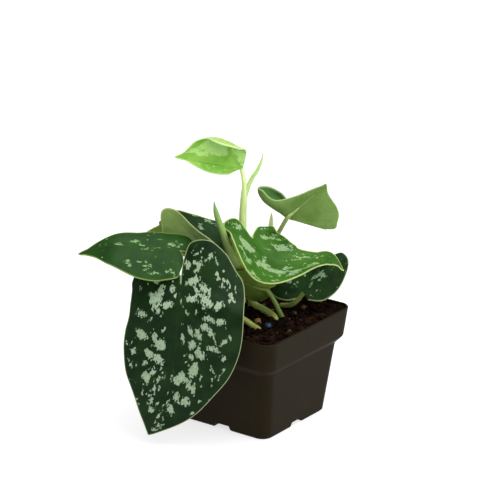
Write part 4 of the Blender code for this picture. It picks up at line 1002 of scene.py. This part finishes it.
papery_sheath = stem_finish("sheath_papery_green", "#cfe09c", "#b4d87c", "#c4e09c")
sheath_points = [(-6.2, -13, 151), (-4, -13, 160), (-0.6, -13, 167.4), (2.7, -13.5, 172.4),
                 (5.7, -14, 180), (6, -14, 185)]
sheath = grow_stem("top_sheath", to_world(sheath_points), [1.5, 1.6, 1.4, 1.2, 0.7, 0.3], papery_sheath)
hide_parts("shoot_top")


# The studio: a plain white floor, soft light from large panels, and the camera a little above the pot,
# looking at its front corner, as in the photograph.
floor_paint, _ = finish_named("studio_floor_matt_white", Metallic=0.0, Roughness=0.9,
                              Base_Color=linear("#a8a8a8"), Emission_Color=linear("#ffffff"),
                              Emission_Strength=0.7)
work = bmesh.new()
bmesh.ops.create_grid(work, x_segments=1, y_segments=1, size=6.0)
floor = show("studio_floor", work, [floor_paint], smooth=False)

world = bpy.data.worlds.new("studio")
world.use_nodes = True
world.node_tree.nodes["Background"].inputs["Color"].default_value = (1, 1, 1, 1)
world.node_tree.nodes["Background"].inputs["Strength"].default_value = 0.4
bpy.context.scene.world = world
bpy.context.scene.view_settings.view_transform = "Standard"


def hang_panel(name, place, size, power):
    """A square soft panel that faces the middle of the plant."""
    lamp = bpy.data.lights.new(name, "AREA")
    lamp.size = size
    lamp.energy = power
    panel = bpy.data.objects.new(name, lamp)
    panel.location = Vector(place)
    panel.rotation_euler = (Vector((0, 0, 0.1)) - Vector(place)).to_track_quat("-Z", "Y").to_euler()
    bpy.context.scene.collection.objects.link(panel)


hang_panel("panel_above", (0.25, 0.1, 1.5), 1.8, 30)
hang_panel("panel_right", (1.4, -0.2, 0.9), 1.4, 12)

SENSOR_WIDTH = 36.0
PICTURE_WIDTH = 500
FOCAL_LENGTH = 2997.5
PIVOT_HEIGHT = 0.0413
# the lens points 3.7 px to the left of the pivot and 106.9 px above it, at a focal length of 3000 px
AIM_ACROSS, AIM_UP = -3.7 / 3000, 106.9 / 3000
elevation, distance = radians(22.1), 2.0626
back = Vector((sin(FACING) * cos(elevation), -cos(FACING) * cos(elevation), sin(elevation)))
across = Vector((cos(FACING), sin(FACING), 0))
upward = back.cross(across)
lens = bpy.data.cameras.new("camera")
lens.sensor_width = SENSOR_WIDTH
lens.lens = SENSOR_WIDTH * FOCAL_LENGTH / PICTURE_WIDTH
camera = bpy.data.objects.new("camera", lens)
camera.location = Vector((0, 0, PIVOT_HEIGHT)) + back * distance
aim = -back + across * AIM_ACROSS + upward * AIM_UP
camera.rotation_euler = aim.to_track_quat("-Z", "Y").to_euler()
bpy.context.scene.collection.objects.link(camera)
bpy.context.scene.camera = camera
